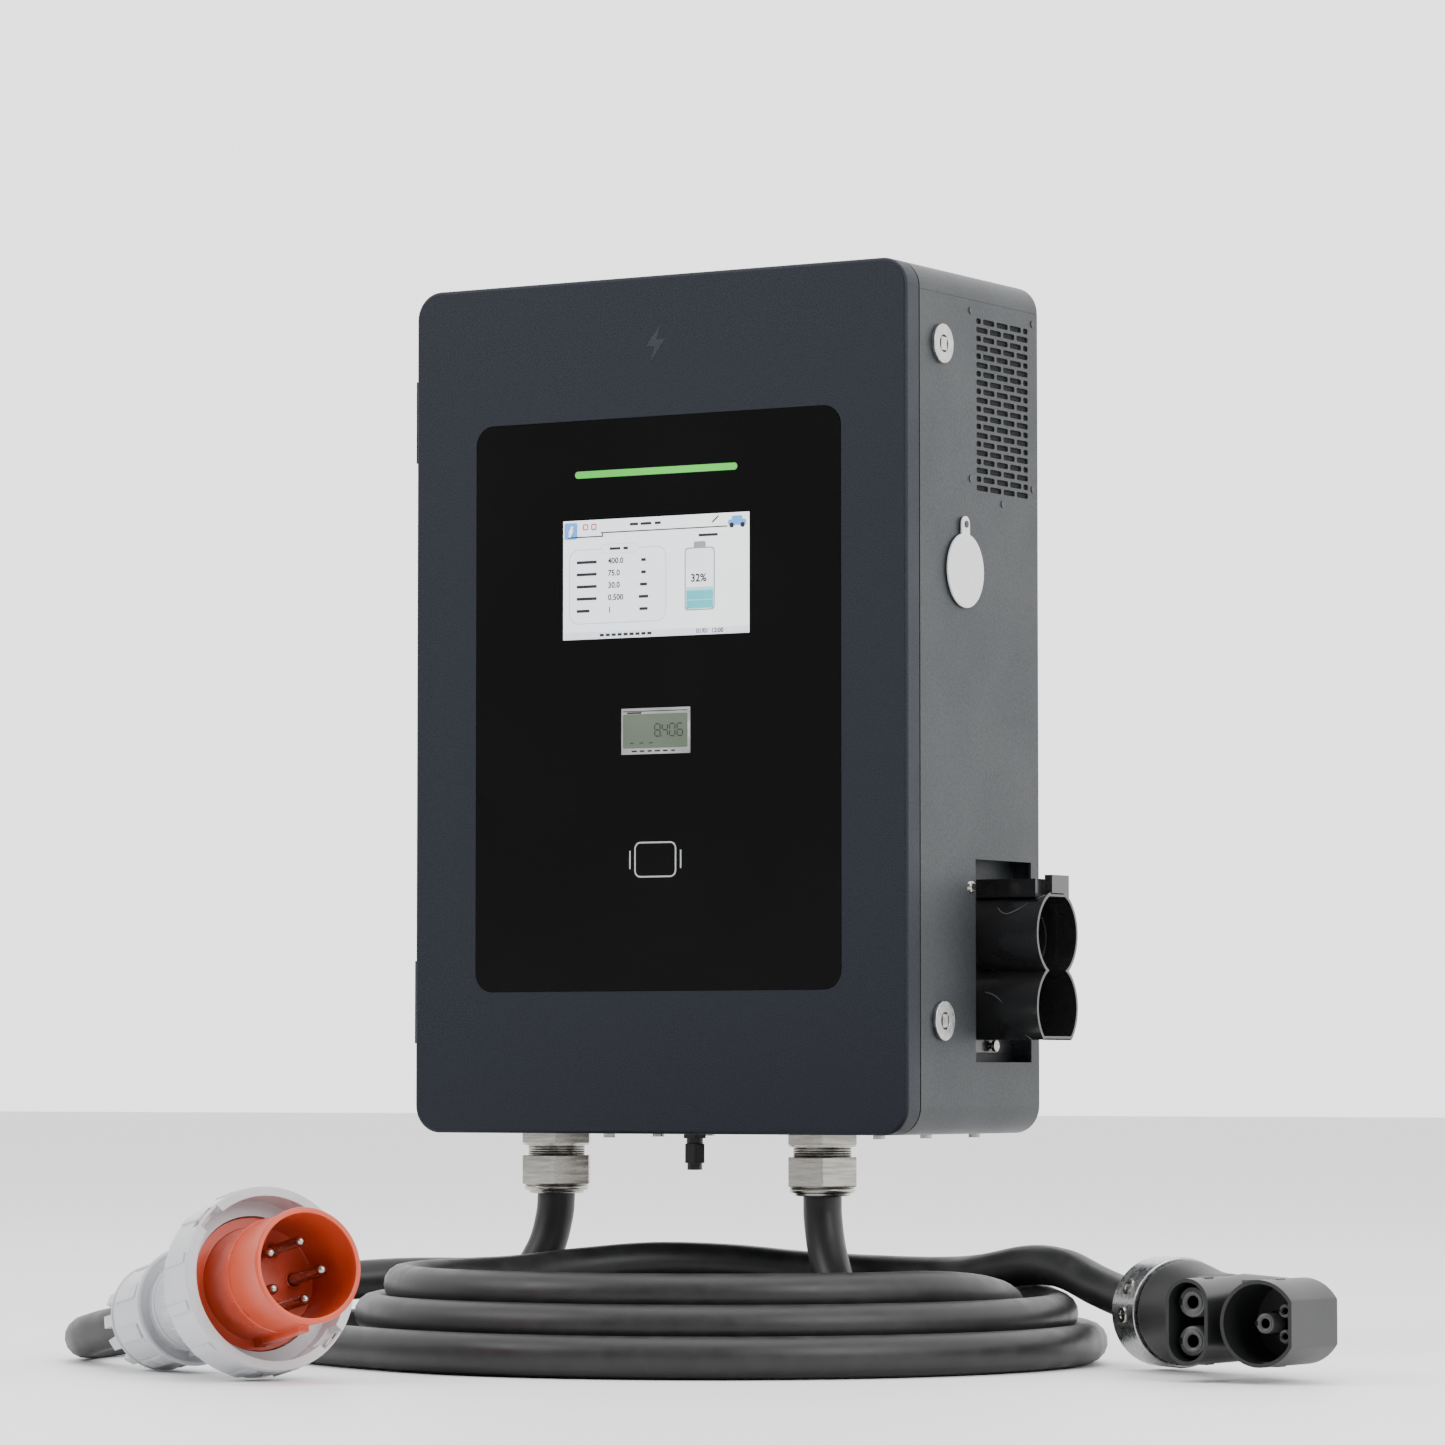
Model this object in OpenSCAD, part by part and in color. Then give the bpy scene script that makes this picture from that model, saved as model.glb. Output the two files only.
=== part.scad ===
/* [Cabinet] */
// Overall width of the cabinet and its door
cab_w = 411; // [400:1:500]
// Overall height of the cabinet and its door
cab_h = 615; // [510:1:740]
// Depth from the rear face of the cabinet to the front of the door
cab_d = 196; // [194:1:236]
// Radius of the four long corners
corner_r = 20; // [12:1:24]
// Thickness of the sheet metal
sheet_t = 2; // [1.5:0.5:3]
// Gap between the wall and the rear face, filled by the bracket
back_gap = 10; // [8:1:20]
// Straight lip of the top and bottom covers below the bend
cover_lip = 1; // [0.5:0.5:4]
// Width of the rim around the door opening
rim_w = 16; // [12:1:18]

/* [Door] */
// Depth of the door pan
door_t = 18; // [16:1:24]
// Thickness of the compressed gasket
gasket_t = 1.2; // [1:0.1:3]
// Width of the black fascia panel
fascia_w = 305; // [280:1:320]
// Height of the black fascia panel
fascia_h = 411; // [400:1:440]
// Corner radius of the fascia panel
fascia_r = 14; // [8:1:20]
// Thickness of the fascia panel
fascia_t = 3; // [2:0.5:4]
// Gap around every inset panel and window
inset_gap = 0.4; // [0.3:0.1:0.8]
// Width of the display glass
display_w = 156; // [120:1:180]
// Height of the display glass
display_h = 86; // [70:1:100]
// Width of the light bar
led_w = 136; // [100:1:180]
// Height of the light bar
led_h = 5; // [4:0.5:8]
// Width of the energy meter's window
meter_w = 58; // [40:1:70]
// Height of the energy meter's window
meter_h = 33; // [24:1:40]

/* [Hinges and locks] */
// Diameter of the hinge pins
pin_d = 4; // [3:0.5:5]
// Length of each hinge
hinge_len = 60; // [40:1:80]
// Diameter of a lock's round head
lock_head_d = 28; // [24:1:32]
// Distance from the front of the door to the lock axes
lock_back = 50; // [46:1:56]
// Length of the cam beyond the lock axis
cam_len = 26; // [20:1:27]
// Diameter of the lock spindle
spindle_d = 10; // [8:1:11]

/* [Right side] */
// Distance from the front of the door to the middle of the grille
grille_back = 142; // [138:1:142]
// Number of slot rows in the grille
grille_rows = 20; // [8:1:20]
// Spacing of the slot rows
grille_pitch = 6.3; // [5.6:0.1:6.4]
// Height of one slot
slot_h = 4; // [2.5:0.5:4.5]
// Length of one slot
slot_w = 17.1; // [14:0.1:17.1]
// Metal left between two slots of a row
slot_bar = 3.2; // [2:0.1:3.2]
// Diameter of the swing cover's disc
cover_d = 53; // [46:1:60]
// Distance from the disc's centre up to its pivot
cover_arm = 33; // [30:1:40]
// Outer diameter of the holster tubes
holster_d = 63; // [60:1:66]
// Reach of the holster beyond the side
holster_out = 40; // [30:1:60]
// Depth of the holster inside the cabinet
holster_in = 38; // [20:1:38]

/* [Underside] */
// Thread diameter of the cable glands
gland_d = 40; // [36:1:44]
// Size across the flats of the gland hexagons
gland_af = 49; // [46:1:52]
// Reach of a gland below the bottom cover
gland_len = 44; // [42:1:60]
// Diameter of both cables
cable_d = 28; // [24:1:28]
// Distance from the bottom cover down to the floor
floor_drop = 155; // [150:1:170]

/* [Fans and module] */
// Side of one square fan frame
fan_side = 60; // [50:1:60]
// Diameter of a fan duct
fan_duct_d = 57; // [46:1:57]
// Diameter of the fan hubs
fan_hub_d = 26; // [20:1:30]
// Number of blades of a fan
fan_blades = 7; // [5:1:9]
// Width of the power module
module_w = 292; // [260:1:292]
// Height of the power module
module_h = 380; // [300:1:380]
// Depth of the power module
module_d = 84; // [60:1:84]

/* [Plug and connector] */
// Outer diameter of the plug's red sleeve
sleeve_d = 74; // [66:1:76]
// Outer diameter of the plug's locking ring
ring_d = 120; // [110:1:124]
// Diameter of the plug's gland nut
plug_nut_d = 70; // [64:1:76]
// Diameter of the connector's metal collar
collar_d = 74; // [70:1:78]
// Length of the connector's metal collar
collar_len = 34; // [24:1:44]
// Outer diameter of the connector's upper shroud
shroud_d = 56; // [54:1:57]

/* [Hidden] */
$fn = 48;
eps = 0.01;
run_gap = 0.05;                       // radial clearance of a running fit
panel_gap = 0.4;                      // clearance of a part in a sheet hole
y_back = -back_gap;                   // rear face of the cabinet
y_front = -(back_gap + cab_d);        // front of the door
y_door = y_front + door_t;            // rear edge of the door
y_rim = y_door + gasket_t + 0.3;      // front face of the rim and gasket seat
cover_h = corner_r + cover_lip;
half_w = cab_w / 2;
half_h = cab_h / 2;
x_in = half_w - sheet_t;              // inner face of the side sheets
function from_front(t) = y_front + t;
function up(h) = -half_h + h;         // height above the cabinet's bottom
function down(h) = half_h - h;        // distance below the cabinet's top

hinge_x = -(half_w + 5);
hinge_y = y_door + 0.75;
hinge_z = [down(95), up(95)];
knuckle_r = pin_d / 2 + 2;
leaf_t = 2;
knuckle_end = hinge_len / 6;

lock_y = from_front(lock_back);
lock_z = [down(57), up(80)];
lock_side = [1, -1];                  // the cam swings up at the top lock, down at the lower one
barrel_d = spindle_d + 9.6;
lock_head_t = 3;
recess_d = 12.4;
cam_t = 3;
cam_w = 12;
barrel_in = 20.5;                     // reach of the barrel inside the sheet
cam_x = half_w - sheet_t - barrel_in - cam_t - 0.3;

grille_y = from_front(grille_back);
grille_h = (grille_rows - 1) * grille_pitch + slot_h;
grille_w = 4 * slot_w + 3 * slot_bar;
grille_z = down(33) - grille_h / 2;
vent_screws = [[-47.7, grille_h / 2 + 4.4], [46.2, grille_h / 2 + 4.4], [-47.7, -grille_h / 2 + 7.6],
               [46.2, -grille_h / 2 + 7.6], [0, -grille_h / 2 - 7]];
filter_t = 3;
fan_plate_t = 3;
fan_depth = 22;
fan_x = x_in - filter_t - fan_plate_t;
fan_z = [grille_z + fan_side / 2 + 1, grille_z - fan_side / 2 - 1];

pivot_y = from_front(82.5);
pivot_z = grille_z - grille_h / 2 - 26;
cover_z = pivot_z - cover_arm;
cover_gap = 1;
cover_t = 1.6;
port_d = 33;

holster_y = from_front(148.5);
holster_top_z = up(142.5);
holster_low_z = up(90);
holster_wall = 2.5;
inner_tube_r = 21.5;
window_y = [from_front(100), from_front(184)];
window_z = [up(51), up(195)];
holster_x0 = half_w - sheet_t - holster_in;
holster_x1 = half_w + holster_out;
flange_x = x_in - 14;                 // rear face of the holster's flange
holster_screws = [[window_y[0] + 6, holster_top_z + 34], [window_y[1] - 36, holster_low_z - 27.2]];

gland_x = [-145, 81];
gland_y = from_front(98);
net_x = -26;
foot_x = [-57, 166];
foot_y = [from_front(30), from_front(98), from_front(170)];
hanger_x = 160;
hanger_z = 180;
wall_bolt_x = 130;
wall_bolt_z = 210;
wall_bolt_d = 9;
bracket_t = 2.5;
web_half = 150;                       // half the width of the bracket's web on the wall
bracket_half = 240;

fascia_z = up(307.5);
fascia_out = 13;
display_z = up(398);
led_z = up(474);
meter_z = up(287.5);
card_z = up(195.5);
glass_t = 2;

plate_y = y_back - 104;               // front face of the equipment plate
plate_w = 330;
plate_h = 460;
plate_z = up(320);
post_d = 10;
breaker_x = -70;
breaker_z = up(150);
rail_t = 7.5;
breaker_d = 50;
toggle_y = plate_y - rail_t - breaker_d;

floor_z = -half_h - floor_drop;
coil_x = 97;
coil_y = -283;
turn_gap = 40;                        // radial spacing of turns in one layer
layer_h = 19.6;                       // rise from one layer to the next
coil_r = 256;                         // outermost turn of the bottom layer

// Routes of the free stretches: x, y and height above the floor
input_in = [[-145, -108, 111], [-146, -109, 94], [-150, -115, 70], [-160, -128, 46], [-173, -147, 27],
            [-190, -170, 16], [-205, -191, 14], [-231, -242, 14], [-235, -299, 14], [-218, -353, 14],
            [-185, -400, 14], [-144, -439, 14], [-97, -472, 14], [-47, -499, 14]];
input_out = [[-26, -50, 40], [-64, -71, 47], [-122, -126, 47], [-170, -182, 50], [-215, -230, 50],
             [-256, -278, 44], [-285, -328, 31], [-302, -380, 18], [-306, -430, 14], [-295, -478, 14],
             [-268, -518, 18], [-227, -547, 24.5], [-180, -572, 30.5], [-134, -597, 40], [-88, -621, 50]];
output_in = [[81, -108, 111], [82, -109, 94], [88, -113, 70], [101, -122, 46], [121, -136, 27],
             [144, -152, 16], [165, -167, 14], [201, -197, 14], [229, -234, 14], [246, -277, 14],
             [250, -323, 14], [239, -368, 14], [215, -407, 14]];
output_out = [[202, -94, 56], [249, -111, 63.5], [290, -135, 62.5], [331, -162, 52], [371, -192, 44],
              [409, -221, 38.5], [450, -253, 38.5], [491, -285, 38.5]];

// Place of the plug's nut end and of the connector's tail
plug_at = [-180, -572, 30.5];
plug_turn = -28;
plug_tilt = 10.6;
gun_at = [409, -221, 38.5];
gun_turn = -38;

// Plug, by distance from its nut end
ring_lo = 157;
ring_hi = 193;
mouth = 246;
neck_d = 86;
cord_hole_d = cable_d + 0.6;

// Connector: x forward out of its face, y towards its top, z across
lean = 55;                            // handle axis from the facing direction
head_s = 152;                         // distance from the tail to the head along the handle
face_x = 150;
function on_handle(s) = [s * cos(lean), s * sin(lean), 0];
shroud_y = on_handle(head_s)[1] + 32;
lower_y = shroud_y - (holster_top_z - holster_low_z);
// Middle line of the hand guard
guard = [on_handle(60) + [-30, 18, 0], on_handle(105) + [-52, 28, 0], on_handle(150) + [-46, 32, 0],
         on_handle(head_s) + [-10, 40, 0]];
pill_r = 15.5;
power_bore_d = 8.4;
pill_half = 12.5;                     // half the spacing of the two power contacts

// ---- helpers ----

// Extrude an (x, z) outline from y0 to y1
module along_y(y0, y1) translate([0, y1, 0]) rotate([90, 0, 0]) linear_extrude(y1 - y0) children();

// Extrude a (y, z) outline from x0 to x1
module along_x(x0, x1) translate([x0, 0, 0]) rotate([90, 0, 90]) linear_extrude(x1 - x0) children();

// Box given by its two corners
module block(a, b) translate(a) cube(b - a);

// Cylinder along X, Y or Z that starts at p
module rod_x(p, d, len, sides = 48) translate(p) rotate([0, 90, 0]) cylinder(d = d, h = len, $fn = sides);
module rod_y(p, d, len, sides = 48) translate(p) rotate([-90, 0, 0]) cylinder(d = d, h = len, $fn = sides);
module rod_z(p, d, len, sides = 48) translate(p) cylinder(d = d, h = len, $fn = sides);

module round_rect(w, h, r) {
    square([w - 2 * r, h], center = true);
    square([w, h - 2 * r], center = true);
    for (x = [-1, 1], z = [-1, 1]) translate([x * (w / 2 - r), z * (h / 2 - r)]) circle(r);
}

module case_outline(inset = 0) round_rect(cab_w - 2 * inset, cab_h - 2 * inset, corner_r - inset);

module ring_outline(inset, wide) difference() {
    case_outline(inset);
    square([cab_w - 2 * (inset + wide), cab_h - 2 * (inset + wide)], center = true);
}

module shell_outline() difference() {
    case_outline();
    case_outline(sheet_t);
}

// Rectangle with its corners cut, for a slot
module slot_outline(w, h, cut = 1) polygon([
    [cut, 0], [w - cut, 0], [w, cut], [w, h - cut], [w - cut, h], [cut, h], [0, h - cut], [0, cut]]);

// Rows of slots, each second row shifted by half a slot
module grille_outline() {
    half_slot = (slot_w - slot_bar) / 2;
    for (i = [0:grille_rows - 1]) translate([-grille_w / 2, -grille_h / 2 + i * grille_pitch]) {
        if (i % 2 == 0) {
            for (k = [0:3]) translate([k * (slot_w + slot_bar), 0]) slot_outline(slot_w, slot_h);
        } else {
            slot_outline(half_slot, slot_h);
            for (k = [0:2]) translate([half_slot + slot_bar + k * (slot_w + slot_bar), 0])
                slot_outline(slot_w, slot_h);
            translate([grille_w - half_slot, 0]) slot_outline(half_slot, slot_h);
        }
    }
}

// Hexagonal prism along Z
module hex_z(p, across, len) rod_z(p, across / cos(30), len, 6);

function unit(v) = v / norm(v);
function across_to(n, t) = unit(n - (n * t) * t);
function directions(p) = [for (i = [0:len(p) - 1]) unit(p[min(i + 1, len(p) - 1)] - p[max(i - 1, 0)])];
function sides_of(t, n, i = 0) = i == len(t) ? [] :
    let (m = across_to(n, t[i])) concat([m], sides_of(t, m, i + 1));
function lift(route) = [for (p = route) [p[0], p[1], floor_z + p[2]]];

// Round tube swept along a list of points
module tube(points, d, sides = 10) {
    t = directions(points);
    n = sides_of(t, unit([0.6, 0.8, 0.01]));
    count = len(points);
    rings = [for (i = [0:count - 1], k = [0:sides - 1])
        points[i] + d / 2 * (cos(360 * k / sides) * n[i] + sin(360 * k / sides) * cross(t[i], n[i]))];
    walls = [for (i = [0:count - 2], k = [0:sides - 1])
        [i * sides + k, (i + 1) * sides + k, (i + 1) * sides + (k + 1) % sides,
         i * sides + (k + 1) % sides]];
    near_end = [for (k = [0:sides - 1]) k];
    far_end = [for (k = [sides - 1:-1:0]) (count - 1) * sides + k];
    polyhedron(rings, concat([near_end, far_end], walls));
}

// ---- cabinet ----

module wall_bracket() color("dimgray") difference() {
    union() {
        block([-web_half, -bracket_t, -bracket_half], [web_half, 0, bracket_half]);
        for (s = [-1, 1]) mirror([s < 0 ? 1 : 0, 0, 0]) {
            block([web_half - bracket_t, y_back, -bracket_half], [web_half, 0, bracket_half]);
            block([web_half - bracket_t, y_back, -bracket_half],
                  [web_half + 22, y_back + bracket_t, bracket_half]);
        }
    }
    for (x = [-1, 1], z = [-1, 1]) {
        rod_y([x * wall_bolt_x, -bracket_t - 1, z * wall_bolt_z], wall_bolt_d, bracket_t + 2);
        rod_y([x * hanger_x, y_back - 1, z * hanger_z], 6 + panel_gap, bracket_t + 2);
    }
}

module back_panel() color("slategray") difference() {
    along_y(y_back - sheet_t, y_back) case_outline(sheet_t);
    for (x = [-1, 1], z = [-1, 1])
        rod_y([x * hanger_x, y_back - sheet_t - 1, z * hanger_z], 6 + panel_gap, sheet_t + 2);
}

module side_sheet() difference() {
    translate([y_rim, -half_h + cover_h]) square([y_back - y_rim, cab_h - 2 * cover_h]);
    translate([grille_y, grille_z]) {
        grille_outline();
        for (p = vent_screws) translate(p) circle(d = 3 + panel_gap, $fn = 24);
    }
}

module side_panel_left() color("slategray") along_x(-half_w, -x_in) side_sheet();

module side_panel_right() color("slategray") along_x(x_in, half_w) difference() {
    side_sheet();
    for (z = lock_z) translate([lock_y, z]) circle(d = barrel_d + panel_gap);
    translate([pivot_y, pivot_z]) circle(d = 3 + 2 * run_gap, $fn = 24);
    translate([pivot_y, cover_z]) circle(d = port_d + panel_gap);
    translate([window_y[0], window_z[0]]) square([window_y[1] - window_y[0], window_z[1] - window_z[0]]);
}

module top_cover() color("slategray") along_y(y_rim, y_back) intersection() {
    shell_outline();
    translate([0, half_h]) square([cab_w + 2, 2 * cover_h], center = true);
}

module bottom_cover() color("slategray") difference() {
    along_y(y_rim, y_back) intersection() {
        shell_outline();
        translate([0, -half_h]) square([cab_w + 2, 2 * cover_h], center = true);
    }
    for (x = gland_x) rod_z([x, gland_y, -half_h - 1], gland_d + panel_gap, sheet_t + 2);
    rod_z([net_x, gland_y, -half_h - 1], 12 + panel_gap, sheet_t + 2);
    for (x = foot_x, y = foot_y) rod_z([x, y, -half_h - 1], 5 + panel_gap, sheet_t + 2);
}

module front_frame() color("slategray") along_y(y_rim, y_rim + sheet_t) ring_outline(sheet_t, rim_w);

module door_gasket() color("black") along_y(y_rim - gasket_t, y_rim) difference() {
    case_outline(sheet_t + 1);
    round_rect(cab_w - 28, cab_h - 28, corner_r - 10);
}

// Pan-head screw along +Z from its head's underside at p
module pan_screw(p, head_d, shank_d, len) {
    rod_z(p - [0, 0, 3], head_d, 3, 24);
    rod_z(p, shank_d, len, 24);
}

module case_screws() color("silver") {
    for (x = foot_x, y = foot_y) pan_screw([x, y, -half_h], 8.5, 5, 9);
    for (x = [-1, 1], z = [-1, 1]) {
        rod_y([x * hanger_x, y_back - sheet_t - 4, z * hanger_z], 11, 4, 6);
        rod_y([x * hanger_x, y_back - sheet_t - eps, z * hanger_z], 6, sheet_t + bracket_t + 4);
    }
    for (p = holster_screws) {
        rod_x([flange_x + 4.5, p[0], p[1]], 8, 2.5, 24);
        rod_x([flange_x - 6, p[0], p[1]], 4, 11, 24);
    }
}

module black_screws() color("black") {
    for (s = [-1, 1], p = vent_screws) mirror([s < 0 ? 1 : 0, 0, 0])
        translate([half_w, grille_y + p[0], grille_z + p[1]]) {
            rod_x([0, 0, 0], 5, 0.6, 24);
            rod_x([-sheet_t - filter_t - fan_plate_t, 0, 0], 3, sheet_t + filter_t + fan_plate_t + eps, 24);
        }
    rod_x([half_w, pivot_y, pivot_z], 7, cover_gap - 0.2, 24);
    rod_x([x_in - 3, pivot_y, pivot_z], 3, sheet_t + cover_gap + cover_t + 3.3, 24);
    rod_x([half_w + cover_gap + cover_t + 0.2, pivot_y, pivot_z], 5, 0.7, 24);
    rod_x([x_in - 3, pivot_y, pivot_z], 6, 3, 24);
}

// Knuckles and web of one hinge half, with the pin bore
module hinge_half(z0, spans, web_y, leaf_y) difference() {
    union() {
        for (s = spans) {
            rod_z([hinge_x, hinge_y, z0 + s[0]], 2 * knuckle_r, s[1] - s[0]);
            block([hinge_x + 1, web_y[0], z0 + s[0]], [-half_w, web_y[1], z0 + s[1]]);
        }
        block([-half_w - leaf_t, leaf_y[0], z0 - hinge_len / 2], [-half_w, leaf_y[1], z0 + hinge_len / 2]);
    }
    rod_z([hinge_x, hinge_y, z0 - hinge_len], pin_d + 2 * run_gap, 2 * hinge_len);
}

module hinge_leaves_cabinet() color("dimgray") for (z = hinge_z)
    hinge_half(z, [[-hinge_len / 2, -knuckle_end - 0.2], [knuckle_end + 0.2, hinge_len / 2]],
               [y_rim + 0.1, y_rim + 4], [y_rim + 3.9, y_rim + 26]);

module hinge_leaves_door() color("dimgray") for (z = hinge_z)
    hinge_half(z, [[-knuckle_end, knuckle_end]], [y_door - 5, y_door - 0.5], [y_door - 15, y_door - 2.6]);

module hinge_pins() color("silver") for (z = hinge_z) {
    rod_z([hinge_x, hinge_y, z - hinge_len / 2 - 0.3], pin_d, hinge_len + 0.3);
    rod_z([hinge_x, hinge_y, z + hinge_len / 2], pin_d + 2, 1.5);
}

module lock_housings() color("silver") for (z = lock_z) difference() {
    union() {
        rod_x([half_w, lock_y, z], lock_head_d, lock_head_t);
        rod_x([x_in - barrel_in, lock_y, z], barrel_d, barrel_in + sheet_t + eps);
    }
    rod_x([half_w + 0.4, lock_y, z], recess_d, lock_head_t);
    rod_x([0, lock_y, z], spindle_d + 2 * run_gap, half_w + 1);
}

// Turning core of a lock: square key insert outside, cam and nut inside
module lock_core(i) color("silver") translate([0, lock_y, lock_z[i]]) {
    rod_x([half_w + 0.6, 0, 0], recess_d - 0.5, 1.1);
    block([half_w + 1.6, -4, -4.6], [half_w + lock_head_t - 0.2, 4, 4.6]);
    rod_x([cam_x, 0, 0], spindle_d, half_w - cam_x + 1);
    block([cam_x, -cam_len, -cam_w / 2], [cam_x + cam_t, cam_w / 2, cam_w / 2]);
    rod_x([cam_x - 4, 0, 0], 13, 4 + eps, 6);
}

module panel_nuts() color("silver") {
    for (z = lock_z) difference() {
        rod_x([x_in - 6, lock_y, z], (barrel_d + 7.4) / cos(30), 6, 6);
        rod_x([x_in - 7, lock_y, z], barrel_d + 0.2, 8);
    }
    for (x = gland_x) difference() {
        hex_z([x, gland_y, -half_h + sheet_t], gland_af - 1, 7);
        rod_z([x, gland_y, -half_h], gland_d + 0.2, 12);
    }
}

// ---- fans, filters and electrics ----

module filter_pad() difference() {
    translate([grille_y, grille_z]) square([102, grille_h + 22], center = true);
    translate([grille_y, grille_z]) for (p = vent_screws) translate(p) circle(d = 3 + panel_gap, $fn = 24);
}

module air_filters() color("black") for (x = [x_in - filter_t, -x_in])
    along_x(x, x + filter_t) filter_pad();

module fan_housing() color([0.1, 0.1, 0.1]) {
    difference() {
        union() {
            along_x(fan_x, fan_x + fan_plate_t) filter_pad();
            for (z = fan_z) translate([fan_x - fan_depth, grille_y, z])
                block([0, -fan_side / 2, -fan_side / 2], [fan_depth, fan_side / 2, fan_side / 2]);
        }
        for (z = fan_z)
            rod_x([fan_x - fan_depth - 1, grille_y, z], fan_duct_d, fan_depth + fan_plate_t + 2);
    }
    for (z = fan_z) translate([fan_x - fan_depth, grille_y, z]) difference() {
        union() {
            rod_x([0, 0, 0], fan_hub_d, 4);
            for (a = [45, -45]) rotate([a, 0, 0])
                block([0, -fan_duct_d / 2 - 0.5, -2], [3, fan_duct_d / 2 + 0.5, 2]);
        }
        rod_x([1, 0, 0], 4 + 2 * run_gap, 5);
    }
}

module fan_rotor(i) color([0.16, 0.16, 0.16]) translate([fan_x - fan_depth, grille_y, fan_z[i]]) {
    rod_x([1.3, 0, 0], 4, 4);
    rod_x([4.5, 0, 0], fan_hub_d, 17);
    for (k = [0:fan_blades - 1]) rotate([k * 360 / fan_blades, 0, 0])
        translate([13, 0, fan_hub_d / 2 - 1]) rotate([0, 0, 38])
            block([-8, -0.8, 0], [8, 0.8, (fan_duct_d - fan_hub_d) / 2 - 0.4]);
}

module equipment_plate() color("gainsboro") {
    block([-plate_w / 2, plate_y, plate_z - plate_h / 2],
          [plate_w / 2, plate_y + sheet_t, plate_z + plate_h / 2]);
    for (x = [-1, 1], z = [-1, 1])
        rod_y([x * (module_w / 2 + 10), plate_y + sheet_t, plate_z + z * (plate_h / 2 - 10)],
              post_d, y_back - sheet_t - plate_y - sheet_t);
}

module power_module() color("silver") {
    rear = y_back - sheet_t - 2;
    block([-module_w / 2, rear - module_d, plate_z - module_h / 2],
          [module_w / 2, rear, plate_z + module_h / 2]);
    for (x = [-1, 1]) block([x * 100 - 15, rear, plate_z - module_h / 2 + 30],
                            [x * 100 + 15, rear + 2, plate_z + module_h / 2 - 30]);
    for (i = [0:5]) block([i * 40 - 112, rear - module_d / 2 - 20, plate_z + module_h / 2],
                          [i * 40 - 88, rear - module_d / 2 + 20, plate_z + module_h / 2 + 6]);
}

module control_board() color("darkgreen") translate([0, plate_y, up(400)]) {
    block([-90, -9.6, -75], [90, -8, 75]);
    for (x = [-1, 1], z = [-1, 1]) rod_y([x * 84, -8, z * 69], 6, 8, 6);
    block([-60, -14, -20], [-30, -9.6, 10]);
    block([10, -22, 20], [40, -9.6, 60]);
    for (i = [0:4]) block([-70 + i * 30, -20, -72], [-50 + i * 30, -9.6, -60]);
}

module dc_contactors() color("dimgray") for (x = [-90, 30]) translate([x, plate_y, up(235)]) {
    block([0, -42, -30], [55, 0, 30]);
    for (k = [12, 43]) rod_y([k, -50, 0], 9, 8, 24);
}

module din_rail() color("silver") translate([0, plate_y, breaker_z]) {
    block([-120, -1, -10], [120, 0, 10]);
    for (s = [-1, 1]) {
        block([-120, -rail_t, s > 0 ? 9 : -10], [120, 0, s > 0 ? 10 : -9]);
        block([-120, -rail_t, s > 0 ? 9 : -17.5], [120, -rail_t + 1, s > 0 ? 17.5 : -9]);
    }
}

module main_breaker() color("whitesmoke") translate([breaker_x, plate_y - rail_t, breaker_z]) difference() {
    union() {
        block([-36, -38, -42], [36, 0, 42]);
        block([-36, -breaker_d, -22], [36, -38 + eps, 22]);
    }
    rod_x([-30, -breaker_d - 2, 0], 14.4, 60);
}

module breaker_toggle() color("black") translate([breaker_x, toggle_y - 2, breaker_z]) {
    rod_x([-29.6, 0, 0], 13.6, 59.2);
    rotate([-35, 0, 0]) block([-27, -14, -2.5], [27, 0, 2.5]);
}

module terminal_block() color("gray") for (i = [0:4])
    translate([i * 16, plate_y - rail_t, breaker_z]) difference() {
        block([10, -34, -24], [25, 0, 24]);
        for (z = [-15, 15]) rod_y([17.5, -35, z], 7, 12, 24);
    
}

// ---- holster ----

module holster_bracket() color("slategray") difference() {
    union() {
        block([flange_x - 3, window_y[0] - 6, window_z[0] - 6],
              [flange_x - 1, window_y[1] + 6, window_z[1] + 6]);
        for (y = [window_y[0] - 6, window_y[1] + 4])
            block([flange_x - 3, y, window_z[0] - 6], [x_in, y + 2, window_z[1] + 6]);
    }
    block([0, holster_y - holster_d / 2 - 0.5, holster_low_z - 23.8],
          [half_w, holster_y + holster_d / 2 + 0.5, holster_top_z + 32]);
    for (p = holster_screws)
        rod_x([flange_x - 4, p[0], p[1]], 4 + panel_gap, 6);
}

// Outline of the holster: a flat-topped upper ring over a lower ring with a flat floor
module holster_outline(inset) {
    r = holster_d / 2 - inset;
    intersection() {
        translate([holster_y, holster_top_z]) circle(r);
        translate([holster_y, holster_top_z - inset]) square([2 * r, 58], center = true);
    }
    intersection() {
        translate([holster_y, holster_low_z]) circle(r);
        translate([holster_y, holster_low_z + 3 + inset]) square([2 * r, 52], center = true);
    }
}

// Flat-topped and flat-bottomed ring of the short tube inside the upper holster tube
module inner_tube_outline(r) translate([holster_y, holster_top_z - 2]) intersection() {
    circle(r);
    translate([0, -4]) square([2 * r, 2 * r - 5], center = true);
}

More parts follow.
